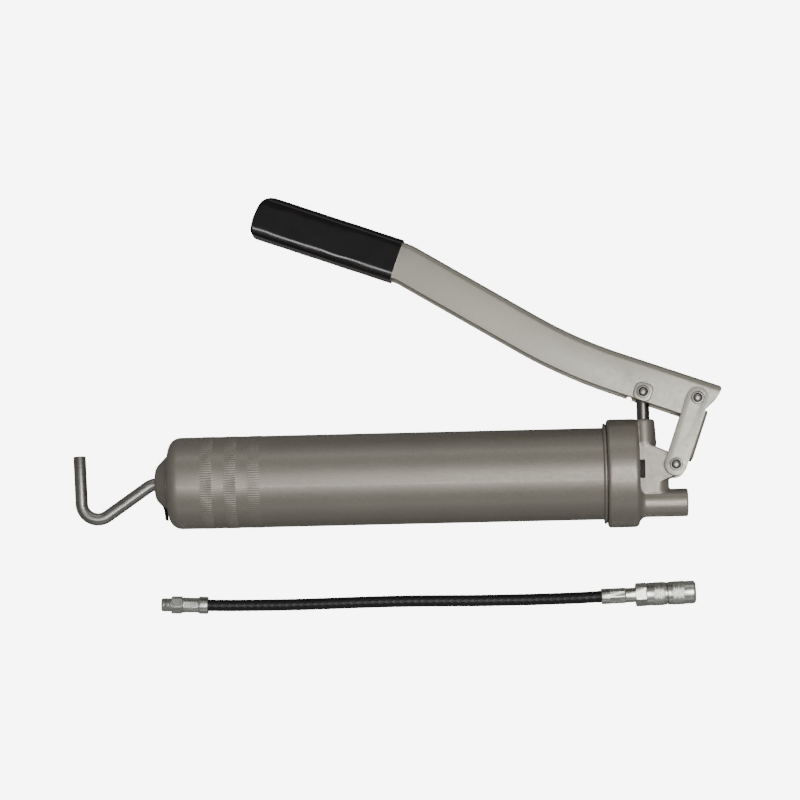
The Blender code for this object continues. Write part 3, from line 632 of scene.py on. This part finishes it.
def make_head():
    piece("head_casting", pump_head(), "head", "barrel_paint", ["pump_head"], sharp=50)
    piece("outlet_thread", outlet_thread(), "head", "bright_steel")
    seal = ring(PLUNGER_HOLE_R, 5.5, 3.0, (0, 27, 0), ACROSS)
    piece("plunger_packing", seal, "head", "black_rubber", ["gland_seal"])
    gasket = ring(24.5, 28.6, 1.4, (-10.2, 0, 0), steps=96)
    piece("head_gasket", gasket, "head", "black_rubber", ["barrel_gasket"])
    # Painted shade: a black pad on each recess floor darkens the recess as its shadow would.
    for label, side in (("near", 1), ("far", -1)):
        piece(f"recess_shade_{label}", recess_shade_pad(side), "head", "black_rubber")
    wire = coil(2.0, 0.35, 9.0, 12.1, 3)
    wire.transform(Matrix.Translation((0, OUTLET_V, 0)))
    valve_spring = piece("valve_spring", wire, "head", "spring_steel", ["check_valve_spring"])
    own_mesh(valve_spring)
    carried_over("check_valve_retainer", "zinc_plate")
    carried_over("check_valve_ball", "bright_steel")


# ---- pump


def cross_pin(place, reach):
    """Pin with turned ends: a rim, a groove for its clip, and a domed middle."""
    groove_r, height = 2.2, 1.25
    rim = reach - height
    half = [(0.0, PIN_R), (rim - 1.05, PIN_R), (rim - 0.95, groove_r), (rim, groove_r), (rim + 0.1, PIN_R)]
    half += [(rim + height * sin(a), PIN_R * cos(a)) for a in (0.3, 0.6, 0.85, 1.1, 1.35)]
    half.append((reach, 0))
    other = [(-along, radius) for along, radius in reversed(half[1:])]
    return turned([*other, *half], 48, (*place, 0), SIDEWAYS)


def pin_clip(place, face, side):
    """Dished retaining washer outside the face at +w or -w."""
    outer_r = 4.1
    outside = [(0.1, outer_r, 0.2), (0.62, outer_r, 0.25), (0.72, 3.4), (0.74, 2.95, 0.15)]
    washer = turned(rounded([(0.1, PIN_HOLE_R), *outside, (0.6, PIN_HOLE_R)], 3), 48)
    washer.transform(Matrix.Translation((*place, side * face)) @ facing((0, 0, 0), (0, 0, side)))
    return closed_up(washer)


def make_pin(name, place, reach, face, body, node):
    piece(name, cross_pin(place, reach), body, "bright_steel", [f"{node}_pin"], finish="pin_steel")
    for side, label in ((1, "near"), (-1, "far")):
        washer, clip = f"{name}_washer_{label}", f"{node}_clip_{label}"
        piece(washer, pin_clip(place, face, side), body, "bright_steel", [clip], finish="clip_steel")


def make_plunger():
    foot, length, edge = 8.6, 45.2, 0.8
    rod = round_bar(PLUNGER_R, length, (0, foot, 0), ACROSS, 64, edge)
    rod = cut(rod, round_bar(PIN_HOLE_R, 20, (*PLUNGER_PIN, -10), SIDEWAYS))
    piece("plunger", rod, "plunger", "bright_steel", ["plunger_rod"], finish="plunger_steel")
    reach, washer_face = 12.2, 10.9
    make_pin("plunger_cross_pin", PLUNGER_PIN, reach, washer_face, "plunger", "plunger")


# ---- lever


def heading_of(tilt):
    """Forward along a stretch of the lever that slopes down to its nose by the tilt."""
    return Vector((cos(tilt), -sin(tilt)))


def lever_bends():
    """The middle line's tail, its kink at the grip, its front bend and its nose, as (u, v)."""
    nose = UPPER_PIN + LEVER_NOSE * heading_of(LEVER_TILT)
    bend = UPPER_PIN - LEVER_FRONT * heading_of(LEVER_TILT)
    kink = bend - LEVER_MIDDLE * heading_of(LEVER_MIDDLE_TILT)
    tail = kink - LEVER_TAIL * heading_of(LEVER_TILT)
    return tail, kink, bend, nose


def channel_section():
    """U of sheet, open on the barrel's side, with its free edges rounded."""
    top, half, sheet, corner, lip = LEVER_HALF_DEPTH, LEVER_HALF, LEVER_SHEET, 4.0, 0.85
    inside = half - sheet
    right = [(-top, inside, lip), (-top, half, lip), (top, half, corner)]
    under = [(top - sheet, -inside, corner - sheet), (top - sheet, inside, corner - sheet)]
    left = [(n, -w, r) for n, w, r in reversed(right)]
    return rounded([*right, *left, *under], 6)


def lever_place(along, across):
    """A place along the lever's front stretch and across it, from the upper pin, as (u, v)."""
    ahead = heading_of(LEVER_TILT)
    return UPPER_PIN + along * ahead + across * Vector((-ahead.y, ahead.x))


def nose_trim():
    """What is cut away in front of the lever's round tip and its slanting throat."""
    tip_r, tip_start = 2.4, 10.0
    centre = Vector((tip_start, LEVER_HALF_DEPTH - tip_r))
    tip = arc(centre, Vector((0, tip_r)), Vector((tip_r, 0)), 6)
    throat = [(12.2, 6.8), (11.0, 3.6), (9.3, 0.6), (7.9, -2.2), (6.6, -4.8), (5.2, -7.4), (1.9, -12.4)]
    outline = [(tip_start, 14), *tip, *throat, (1.9, -20), (30, -20), (30, 14)]
    return prism([lever_place(*point) for point in outline], -20, 20)


def deepened(shape):
    """Lets the flanges grow deeper from the front bend to the nose."""
    growth = 0.009
    ahead = heading_of(LEVER_TILT)
    below = Vector((ahead.y, -ahead.x))
    for vertex in shape.verts:
        place = vertex.co.xy - UPPER_PIN
        past_bend = place.dot(ahead) + LEVER_FRONT
        if place.dot(below) > 0 and past_bend > 0:
            vertex.co += growth * past_bend * Vector((*below, 0))
    return shape


def lever_channel():
    """The handle. Its hole for the upper pin is wide, because the linkage is open there."""
    tail, kink, bend, nose = lever_bends()
    path = rounded([tail, (*kink, 25.0), (*bend, 300.0), nose], 24, False)
    bush_hole_r, open_hole_r, small_hole_r = 4.4, 4.1, 1.7
    return cut(
        deepened(swept(path, channel_section())),
        nose_trim(),
        cross_hole(bush_hole_r, PLUNGER_PIN),
        cross_hole(open_hole_r, lever_place(1.25, 0.25)),
        round_bar(small_hole_r, 15, (-8.2, 46.7, -20), SIDEWAYS, 32),
    )


def lever_bush():
    """Flanged bush with a rounded square head."""
    half, corner, thickness, face = 5.75, 3.8, 1.35, LEVER_HALF + 0.12
    square = [(-half, -half, corner), (half, -half, corner), (half, half, corner), (-half, half, corner)]
    head = bevelled(prism(rounded(square, 10), face, face + thickness), 0.8, 4)
    head.transform(Matrix.Translation((*PLUNGER_PIN, 0)) @ Matrix.Rotation(-LEVER_TILT, 4, "Z"))
    sleeve = round_bar(4.2, face - 4.0, (*PLUNGER_PIN, 4.5), SIDEWAYS)
    return cut(joined(head, sleeve), cross_hole(PIN_HOLE_R, PLUNGER_PIN))


def grip_section():
    """Crowned sides, squarer on top, where the channel's back is, than below its open side."""
    side = [(-13.5, 9.3, 2.4), (-6.8, 11.25, 25), (3.0, 11.5, 60), (13.5, 10.7, 5.2)]
    other = [(n, -w, r) for n, w, r in reversed(side)]
    return rounded([*side, *other], 8)


def rippled(shape, size, height):
    """Moves each point along its normal by smooth noise."""
    shape.normal_update()
    moved = [(vertex, vertex.normal * height * noise.noise(vertex.co / size)) for vertex in shape.verts]
    for vertex, shift in moved:
        vertex.co += shift
    return shape


def lever_grip():
    """Dipped vinyl sleeve: uneven where it bridges the channel's open side."""
    start, end, top = 4.5, 98.5, 13.4
    outline = [(start - 8, -top), (end - 1.2, -top, 3.4), (end + 0.1, -3.0, 25), (end - 2.0, top, 10.0)]
    outline.append((start - 8, top))
    body = swept([Vector((start - 10, 0)), Vector((end + 5, 0))], grip_section())
    body = cast(common(body, prism(rounded(outline, 10), -20, 20)), 0.6, 10)
    body = rippled(body, 16.0, 0.13)
    gap = 0.05
    depth, width = LEVER_HALF_DEPTH + gap, LEVER_HALF + gap
    hollow = block((start - 15, -depth, -width), (LEVER_TAIL + 0.3, depth, width))
    grip = cut(body, hollow, block((start - 20, -20, -20), (start, 20, 20)))
    kink = lever_bends()[1]
    turn = Matrix.Rotation(-LEVER_TILT, 4, "Z")
    grip = mirrored(grip, ALONG)
    grip.transform(Matrix.Translation((*kink, 0)) @ turn)
    return grip


def make_lever():
    piece("lever_handle", lever_channel(), "lever", "lever_paint", ["lever_channel"])
    piece("lever_sleeve", lever_grip(), "lever", "black_vinyl", ["lever_grip"], sharp=60)
    piece("bush_near", lever_bush(), "lever", "lever_paint", ["lever_bush_near"])
    piece("bush_far", mirrored(lever_bush(), SIDEWAYS), "lever", "lever_paint", ["lever_bush_far"])


# ---- link


def link_channel():
    """U of sheet: a round-ended cheek on each side, and a web between low and high in front."""
    length = (UPPER_PIN - LOWER_PIN).length
    low, high, cheek, web_face = 6.4, 37.2, 6.8, 8.8
    end_r = cheek * 0.999
    corners = [
        (-cheek, -cheek, end_r),
        (low, -cheek, 0.5),
        (low, -web_face, 0.6),
        (high, -web_face, 0.6),
        (high, -cheek, 0.5),
        (length + cheek, -cheek, end_r),
        (length + cheek, cheek, end_r),
        (-cheek, cheek, end_r),
    ]
    inside = LINK_HALF - LINK_SHEET
    web = -web_face + LINK_SHEET
    link = cut(
        prism(rounded(corners, 12), -LINK_HALF, LINK_HALF),
        block((-20, web, -inside), (length + 20, 20, inside)),
        block((-20, -20, -inside), (low, 20, inside)),
        block((high, -20, -inside), (length + 20, 20, inside)),
    )
    bend = 2.2
    edge, back = LINK_HALF - bend, bend - web_face
    for side in (1, -1):
        left, right = sorted((side * edge, side * (LINK_HALF + 2)))
        corner = block((low - 1, -web_face - 2, left), (high + 1, back, right))
        rod = round_bar(bend, high - low + 6, (low - 3, back, side * edge))
        link = cut(link, common(cut(corner, rod), block((low, -20, -20), (high, 20, 20))))
    link = bevelled(link, 0.45, 3, 50)
    link = cut(link, cross_hole(PIN_HOLE_R, (0, 0)), cross_hole(PIN_HOLE_R, (length, 0)))
    axis = (UPPER_PIN - LOWER_PIN).normalized()
    link.transform(Matrix.Translation((*LOWER_PIN, 0)) @ Matrix.Rotation(atan2(axis.y, axis.x), 4, "Z"))
    return link


def make_link():
    piece("link", link_channel(), "link", "lever_paint", ["link_channel"])
    reach = LINK_HALF + 1.4
    make_pin("link_pin_lower", LOWER_PIN, reach, LINK_HALF, "link", "link_lower")
    make_pin("link_pin_upper", UPPER_PIN, reach, LINK_HALF, "link", "link_upper")


# ---- barrel

RIB_BANDS = ((-274.0, -266.6), (-259.2, -251.8), (-244.5, -237.2))
RIB_COUNT = 120
RIB_HEIGHT = 0.26
RIB_STEPS = 4


def rib_relief(along, radius, angle):
    """Straight ribs along the barrel, in each band, with flat crests."""
    if radius < BARREL_R - 0.1 or not any(low < along < high for low, high in RIB_BANDS):
        return 0.0
    crest = abs(((RIB_COUNT * angle / (2 * pi)) % 1.0) - 0.5) * 2
    return RIB_HEIGHT * (min(1.0, 1.6 * crest) - 0.55)


def barrel_tube():
    """Tube with a rolled bead behind the head and a round rear edge, open at both ends."""
    inner = BARREL_R - BARREL_WALL
    rear_r, rear_hole_r = 8.0, 9.0
    bead_front, bead_rear, bead_r, bead_edge = -23.8, -25.6, 31.2, 0.85
    edge = 0.35
    outer = [(BARREL_FRONT, inner), (BARREL_FRONT, BARREL_R), (bead_front, BARREL_R)]
    outer += [(bead_front, bead_r, bead_edge), (bead_rear, bead_r, bead_edge), (bead_rear, BARREL_R, 0.5)]
    for low, high in reversed(RIB_BANDS):
        outer += [(high + edge, BARREL_R), (high, BARREL_R), (high - edge, BARREL_R)]
        outer += [(low + edge, BARREL_R), (low, BARREL_R), (low - edge, BARREL_R)]
    rear = [(BARREL_REAR, BARREL_R, rear_r), (BARREL_REAR, rear_hole_r)]
    inside = BARREL_REAR + BARREL_WALL
    corners = [*outer, *rear, (inside, rear_hole_r), (inside, inner, rear_r - BARREL_WALL)]
    return turned(rounded(corners, 10), RIB_STEPS * RIB_COUNT, relief=rib_relief)


def rear_cap():
    """Domed end of the barrel, with the slot that the lock plate's tab comes out of."""
    foot, crown = BARREL_REAR - 0.05, -304.0
    corners = [
        (foot, 16.2, 0.2),
        (foot, 18.5, 0.3),
        (crown, 9.6, 8.0),
        (crown, 4.6, 0.3),
        (crown + 0.5, 4.2),
        (crown + 1.2, 4.3),
        (crown + 1.2, 9.1, 6.0),
    ]
    slot_half, slot_top, slot_foot = 6.0, -9.5, -24.0
    behind_plate = [(-300.6, slot_top), (-300.3, -11.3), (-298.6, -17.6), (-297.6, slot_foot)]
    slot = prism([*behind_plate, (foot + 5, slot_foot), (foot + 5, slot_top)], -slot_half, slot_half)
    return cut(turned(rounded(corners, 10), 96), slot)


def rod_lock_plate():
    """Bent spring plate with the rod's hole, its tab out of the cap's slot."""
    line = [(-299.2, 10.5), (-299.4, -11.0, 2.0), (-297.5, -17.6, 2.0), (-296.95, -22.7)]
    half, width, edge = 0.55, 5.5, 0.4
    section = [(-half, -width, edge), (half, -width, edge), (half, width, edge), (-half, width, edge)]
    plate = swept(rounded(line, 5, False), rounded(section, 3))
    return cut(plate, round_bar(ROD_HOLE_R + 0.3, 20, (-310, 0, 0)))


def make_barrel():
    piece("barrel", barrel_tube(), "barrel", "barrel_paint", ["barrel_tube"], sharp=50)
    piece("barrel_end_cap", rear_cap(), "barrel", "barrel_paint", ["rear_cap"])
    bush = ring(ROD_HOLE_R, 8.7, 4.0, (BARREL_REAR + 0.2, 0, 0))
    piece("rod_bush", bush, "barrel", "dark_steel", ["rod_guide_bush"])
    spring = coil(19.5, 1.2, -289.0, -21.2, 10)
    long_spring = piece("long_spring", spring, "barrel", "spring_steel", ["follower_spring"])
    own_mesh(long_spring)
    small = coil(7.2, 0.4, -298.1, -296.2, 2)
    lock_spring = piece("lock_spring", small, "barrel", "spring_steel", ["rod_lock_spring"])
    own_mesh(lock_spring)
    piece("lock_plate", rod_lock_plate(), "rod_lock", "dark_steel", ["rod_lock_plate"])


# ---- follower


def follower_cup():
    """Rubber cup with a waist, open at the back."""
    front, r = -14.3, 26.6
    corners = [
        (front, ROD_HOLE_R),
        (front, r, 2.5),
        (front - 8.0, r - 0.8, 1.0),
        (front - 16.0, r, 0.3),
        (front - 16.0, r - 2.4, 0.3),
        (front - 3.0, r - 2.9, 2.0),
        (front - 3.0, ROD_HOLE_R),
    ]
    return turned(rounded(corners, 6), 96)


def follower_rod():
    """Rod from the follower out through the cap, bent into the hook that is its handle."""
    corners = [(-9.9, 0), (-305.9, 0, 12.0), (-349.4, -30.0, 10.3), (-351.2, 18.2)]
    angles = [2 * pi * k / 32 for k in range(32)]
    circle = [(ROD_R * cos(angle), ROD_R * sin(angle)) for angle in angles]
    return bevelled(swept(rounded(corners, 24, False), circle), 0.4, 3, 60)


def rod_nut():
    corner_r, thickness = 6.4, 1.9
    hexagon = [(corner_r * cos(pi * k / 3), corner_r * sin(pi * k / 3)) for k in range(6)]
    nut = bevelled(prism(hexagon, 0, thickness), 0.2, 2)
    nut.transform(Matrix.Translation((-12.2, 0, 0)) @ Matrix.Rotation(pi / 2, 4, "Y"))
    return cut(nut, round_bar(4.1, 10, (-15, 0, 0)))


def make_follower():
    piece("follower_seal", follower_cup(), "follower", "black_rubber", ["follower_cup"])
    thickness = 1.6
    front = ring(ROD_HOLE_R, 17.0, thickness, (-14.1, 0, 0), steps=96)
    piece("follower_plate_front", front, "follower", "zinc_plate", ["follower_front_plate"])
    back = ring(ROD_HOLE_R, 21.0, thickness, (-19.2, 0, 0), steps=96)
    piece("follower_plate_back", back, "follower", "zinc_plate", ["follower_back_plate"])
    piece("hooked_rod", follower_rod(), "rod", "bright_steel", ["follower_rod"], sharp=40)
    piece("follower_nut", rod_nut(), "rod", "zinc_plate", ["rod_nut"])


# ---- hose and its fittings

# Where each fitting lies, in metres
HOSE_START_TIP = (-0.1512, -0.1486)
HOSE_START_YAW = radians(-2.1)
COUPLER_BACK = (0.1469, -0.1493)
COUPLER_YAW = radians(1.5)

# The fittings' own sizes, in millimetres
START_COLLAR_R = 5.45
FERRULE_BORE_R = 2.4
HOSE_MOUTH_R = 3.8
COUPLER_R = 7.5
COUPLER_SEAM = 20.0
COUPLER_LENGTH = 37.8


def laid(place, height, yaw):
    """Takes a fitting drawn along +X in millimetres to its place in the row frame."""
    spot = Matrix.Translation((place[0], place[1], height * MM))
    return spot @ Matrix.Rotation(yaw, 4, "Z") @ Matrix.Scale(MM, 4)


START = laid(HOSE_START_TIP, START_COLLAR_R, HOSE_START_YAW)
END = laid(COUPLER_BACK, COUPLER_R, COUPLER_YAW)


def flats(count, across, low, high, turn=0.0):
    """A prism of flats about the X axis, across them from flat to flat."""
    corner = across / 2 / cos(pi / count)
    angles = [turn + 2 * pi * k / count for k in range(count)]
    bar = prism([(corner * cos(a), corner * sin(a)) for a in angles], low, high)
    bar.transform(Matrix.Rotation(pi / 2, 4, "Y"))
    return bar


def flatted(body, count, across, low, high, turn=0.0):
    """Presses flats into a turned body between low and high."""
    outer_r = 30
    outer = turned([(low, 0), (low, outer_r), (high, outer_r), (high, 0)], 32)
    rest = cut(outer, flats(count, across, low - 1, high + 1, turn))
    return cut(body, rest)


def nut_bar(corners, length, start, chamfer, turn=0.0):
    """Hexagon with its corners chamfered at both ends."""
    r, slant = corners / 2, chamfer * 0.6
    across = corners * cos(pi / 6)
    cone = [(0, 0), (0, r - chamfer), (slant, r), (length - slant, r), (length, r - chamfer), (length, 0)]
    bar = common(flats(6, across, 0, length, turn), turned(cone, 96))
    bar.transform(Matrix.Translation((start, 0, 0)))
    return bar


def hose_end_fitting():
    """Threaded end with its hexagon, bored through."""
    count, start, length, thread_r = 36, 0.6, 5.4, 4.2
    thread = [(0, 0), (0, 3.7), (start, thread_r)]
    thread += [(start + length * k / count, thread_r) for k in range(1, count + 1)]
    thread += [(6.3, 3.9), (6.3, 0)]
    helix = thread_relief(1.0, 0.32)

    def relief(along, radius, angle):
        return helix(along, radius, angle) if radius == thread_r else 0.0

    body = joined(turned(thread, 64, relief=relief), nut_bar(11.4, 7.0, 6.2, 0.9, 0.2))
    return cut(body, round_bar(1.4, 40, (-1, 0, 0), steps=32))


def hose_end_ferrule():
    """Crimped ferrule, with the collar that the hose goes into."""
    corners = [
        (13.3, FERRULE_BORE_R),
        (13.3, 4.9, 0.4),
        (23.4, 4.9, 0.4),
        (24.2, START_COLLAR_R, 0.5),
        (29.4, START_COLLAR_R, 0.9),
        (29.4, HOSE_MOUTH_R),
        (28.0, HOSE_MOUTH_R),
        (28.0, FERRULE_BORE_R),
    ]
    body = turned(rounded(corners, 5), 96)
    return bevelled(flatted(body, 8, 9.15, 14.4, 22.8, 0.25), 0.15, 2, 30)


def coupler_ferrule():
    """Crimped ferrule between the hose and the coupler's hexagon."""
    corners = [
        (-21.6, HOSE_MOUTH_R),
        (-21.6, 4.95, 0.5),
        (-6.9, 4.95),
        (-6.2, 4.6, 0.5),
        (-0.05, 4.6),
        (-0.05, FERRULE_BORE_R),
        (-20.2, FERRULE_BORE_R),
        (-20.2, HOSE_MOUTH_R),
    ]
    body = turned(rounded(corners, 5), 96)
    return bevelled(flatted(body, 8, 9.2, -16.4, -6.9, 0.1), 0.15, 2, 30)


def knurl_relief(band, count, lead, depth):
    """A diamond knurl in a (low, high) band."""

    def relief(along, radius, angle):
        if not band[0] <= along <= band[1]:
            return 0.0
        slope = 2 * pi * along / lead
        first, second = sin((count * angle + slope) / 2), sin((count * angle - slope) / 2)
        return -depth * (1 - min(abs(first), abs(second)) * 1.6)

    return relief


def coupler_part(profile, band, inner_r):
    """Turned part with a knurled band outside inner_r, its wall dense enough for the knurl."""
    step, slack = 0.25, 0.01
    dense = []
    for (low, low_r), (high, _) in zip(profile, profile[1:]):
        dense.append((low, low_r))
        knurled = band[0] - slack <= low and high <= band[1] + slack and low_r > inner_r
        extra = round((high - low) / step) if knurled else 0
        dense += [(low + (high - low) * k / extra, low_r) for k in range(1, extra)]
    dense.append(profile[-1])
    return turned(dense, 192, relief=knurl_relief(band, 48, 2.2, 0.11))


def coupler_body():
    """Hexagon and the knurled rear half of the coupler."""
    start, end = band = (11.6, 17.6)
    r, bore_r, face = COUPLER_R - 0.15, 2.6, COUPLER_SEAM - 0.2
    low = [(6.4, bore_r), (6.4, r - 0.5), (6.9, r - 0.1), (start - 0.5, r - 0.1), (start, r)]
    high = [(end, r), (end + 0.5, r - 0.2), (COUPLER_SEAM - 0.5, r - 0.2), (face, r - 0.6), (face, bore_r)]
    body = coupler_part([*low, *high], band, 5.0)
    hexagon = nut_bar(14.9, 7.0, 0, 0.8, radians(20))
    return joined(body, cut(hexagon, round_bar(bore_r, 40, (-20, 0, 0), steps=32)))


def coupler_sleeve():
    """The knurled nose half, which screws on the body."""
    start, end = band = (23.4, 30.2)
    tip, r, bore_r, mouth_r, face = COUPLER_LENGTH, COUPLER_R - 0.1, 5.25, 3.7, COUPLER_SEAM + 0.1
    low = [(face, bore_r), (face, r - 0.6), (COUPLER_SEAM + 0.5, r - 0.15), (start - 0.5, r - 0.15)]
    high = [(start, r), (end, r), (end + 0.5, r - 0.15), (tip - 1.9, r - 0.15)]
    nose = rounded([high[-1], (tip, r - 0.3, 1.8), (tip, 4.3, 0.5), (tip - 0.9, mouth_r)], 6, False)
    inside = [(tip - 3.0, mouth_r), (tip - 3.6, bore_r)]
    return coupler_part([*low, *high, *[tuple(point) for point in nose[1:]], *inside], band, 6.0)


def hose_route():
    """The CAD's route, in metres, from the first ferrule to the coupler's."""
    start = START @ Vector((29.7, 0, 0))
    end = END @ Vector((-21.9, 0, 0))
    return [
        tuple(start),
        (-0.1097, -0.1501, 0.0050),
        (-0.0947, -0.1504, 0.0042),
        (-0.0787, -0.1506, 0.0038),
        (-0.0617, -0.1506, 0.0037),
        (-0.0437, -0.1504, 0.0037),
        (-0.0257, -0.1502, 0.0037),
        (-0.0077, -0.1501, 0.0037),
        (0.0103, -0.1502, 0.0037),
        (0.0283, -0.1505, 0.0037),
        (0.0463, -0.1508, 0.0037),
        (0.0643, -0.1509, 0.0038),
        (0.0813, -0.1509, 0.0044),
        (0.0973, -0.1507, 0.0055),
        (0.1113, -0.1504, 0.0067),
        tuple(end),
    ]


def smooth_line(route, per_span):
    """Points of a Catmull-Rom curve through the route."""
    route = [Vector(point) for point in route]
    ends = [route[0] * 2 - route[1], *route, route[-1] * 2 - route[-2]]
    points = []
    for index in range(1, len(ends) - 2):
        p0, p1, p2, p3 = ends[index - 1 : index + 3]
        for step in range(per_span):
            t = step / per_span
            bend = (p2 - p0) * t + (2 * p0 - 5 * p1 + 4 * p2 - p3) * t**2
            points.append(p1 + (bend + (3 * p1 - p0 - 3 * p2 + p3) * t**3) / 2)
    points.append(route[-1])
    return points


def braided_tube(line):
    """Tube along the line, with the relief of a braided cover: strands wound both ways."""
    strands, lead, height, sides = 8, 9.0 * MM, 0.08 * MM, 48
    winding = 4 * pi / (lead * strands)
    shape = bmesh.new()
    rings = []
    gone = 0.0
    for index, point in enumerate(line):
        before, after = line[max(index - 1, 0)], line[min(index + 1, len(line) - 1)]
        heading = (after - before).normalized()
        side = heading.cross(Vector((0, 0, 1))).normalized()
        up = side.cross(heading)
        if index:
            gone += (point - line[index - 1]).length
        row = []
        for step in range(sides):
            angle = 2 * pi * step / sides
            first = abs(sin(strands * (angle + winding * gone) / 2))
            second = abs(sin(strands * (angle - winding * gone) / 2))
            r = HOSE_R * MM - height * (1 - max(first, second) ** 1.5) * 2.2
            row.append(shape.verts.new(point + r * (side * cos(angle) + up * sin(angle))))
        rings.append(row)
    shape.faces.new(rings[0])
    shape.faces.new(rings[-1])
    for near, far in zip(rings, rings[1:]):
        for step in range(sides):
            shape.faces.new([near[step], near[step - 1], far[step - 1], far[step]])
    return closed_up(shape)


def make_hose():
    fitting = piece("hose_thread_end", hose_end_fitting(), "hose", "zinc_plate", ["hose_end_fitting"], START)
    first = piece("hose_ferrule_start", hose_end_ferrule(), "hose", "zinc_plate", ["hose_end_ferrule"], START)
    last = piece("hose_ferrule_end", coupler_ferrule(), "hose", "zinc_plate", ["coupler_ferrule"], END)
    for label, place, start in (("start", START, 28.3), ("end", END, -22.3)):
        tail = bevelled(round_bar(HOSE_R + 0.04, 1.8, (start, 0, 0)), 0.15, 2)
        piece(f"hose_tail_{label}", tail, "hose", "hose_cover", place=place)
    body = piece("coupler", coupler_body(), "hose", "zinc_plate", ["coupler_body"], END)
    sleeve = coupler_sleeve()
    nose = piece("coupler_nose", sleeve, "coupler_sleeve", "zinc_plate", ["coupler_sleeve"], END)
    jaws = ["coupler_jaw_1", "coupler_jaw_2", "coupler_jaw_3"]
    for jaw in jaws:
        carried_over(jaw, "bright_steel")
    carried_over("coupler_seal", "black_rubber")
    line = smooth_line(hose_route(), 48)
    tube = braided_tube(line)
    hose = piece("hose", tube, "hose", "hose_cover", ["hose_tube"], Matrix.Identity(4), 60)


# -------------------------------------------------------- camera and room


def make_camera():
    """Straight above the gun and far off, for a gentle perspective."""
    camera = bpy.data.cameras.new("camera")
    camera.lens = 137.9
    camera.sensor_width = 36.0
    camera.shift_x = -0.0618
    camera.shift_y = 0.006
    camera.clip_end = 50
    view = bpy.data.objects.new("camera", camera)
    view.location = GUN.translation + Vector((-0.120, 0.045, 1.900))
    view.rotation_euler = (0, 0, radians(-1.355))
    bpy.context.scene.collection.objects.link(view)
    bpy.context.scene.camera = view


def flat_material(name, colour, glow):
    """Very faintly mottled paper, which may glow like a table lit from below."""
    paper = Nodes(name, colour, 0.0, 0.9, Emission_Color=(1, 1, 0.995, 1), Emission_Strength=glow)
    paper.coloured(paper.noise(3, 2), tuple(0.985 * c for c in colour), 1.0, 0.3, 0.7)
    return paper.material


def sheet(name, height, material):
    """A round sheet, 12 m across."""
    shape = bmesh.new()
    bmesh.ops.create_circle(shape, cap_ends=True, segments=64, radius=6.0)
    mesh = bpy.data.meshes.new(name)
    shape.to_mesh(mesh)
    shape.free()
    mesh.materials.append(material)
    made = bpy.data.objects.new(name, mesh)
    made.location.z = height
    bpy.context.scene.collection.objects.link(made)
    return made


def make_floor():
    """A pale floor that shows, and a duller one just below it that the gun's surfaces see."""
    floor = sheet("floor", 0.0, flat_material("floor_finish", (0.86, 0.86, 0.855), 7.0))
    floor.visible_diffuse = False
    floor.visible_glossy = False
    bounce = sheet("floor_bounce", -0.0004, flat_material("bounce_finish", (0.62, 0.62, 0.61), 0.0))
    bounce.visible_camera = False


def lamp(name, size, place, target, power):
    light = bpy.data.lights.new(name, "AREA")
    light.shape = "RECTANGLE"
    light.size, light.size_y = size
    light.energy = power
    made = bpy.data.objects.new(name, light)
    made.location = place
    made.rotation_euler = (Vector(target) - Vector(place)).to_track_quat("-Z", "Y").to_euler()
    bpy.context.scene.collection.objects.link(made)


def make_lights():
    """Soft panels: size, place and aim in metres, then watts."""
    middle = (0, -0.05, 0)
    lamp("key", (0.9, 0.55), (0.44, 0.05, 1.90), (0.1, -0.05, 0), 13)
    lamp("strip", (1.5, 0.08), (-0.1, -0.46, 1.90), middle, 5)
    lamp("overhead", (2.6, 2.2), (0, 0, 2.3), middle, 4)
    lamp("front_fill", (2.4, 0.6), (0, -2.2, 1.0), middle, 1.5)
    lamp("back_fill", (2.4, 0.6), (0, 2.2, 1.0), middle, 3.5)
    world = bpy.data.worlds.new("studio")
    world.use_nodes = True
    background = world.node_tree.nodes["Background"]
    background.inputs["Color"].default_value = (1, 1, 1, 1)
    background.inputs["Strength"].default_value = 0.16
    bpy.context.scene.world = world


make_camera()
make_hose()
make_head()
make_plunger()
make_lever()
make_link()
make_barrel()
make_follower()
make_floor()
make_lights()
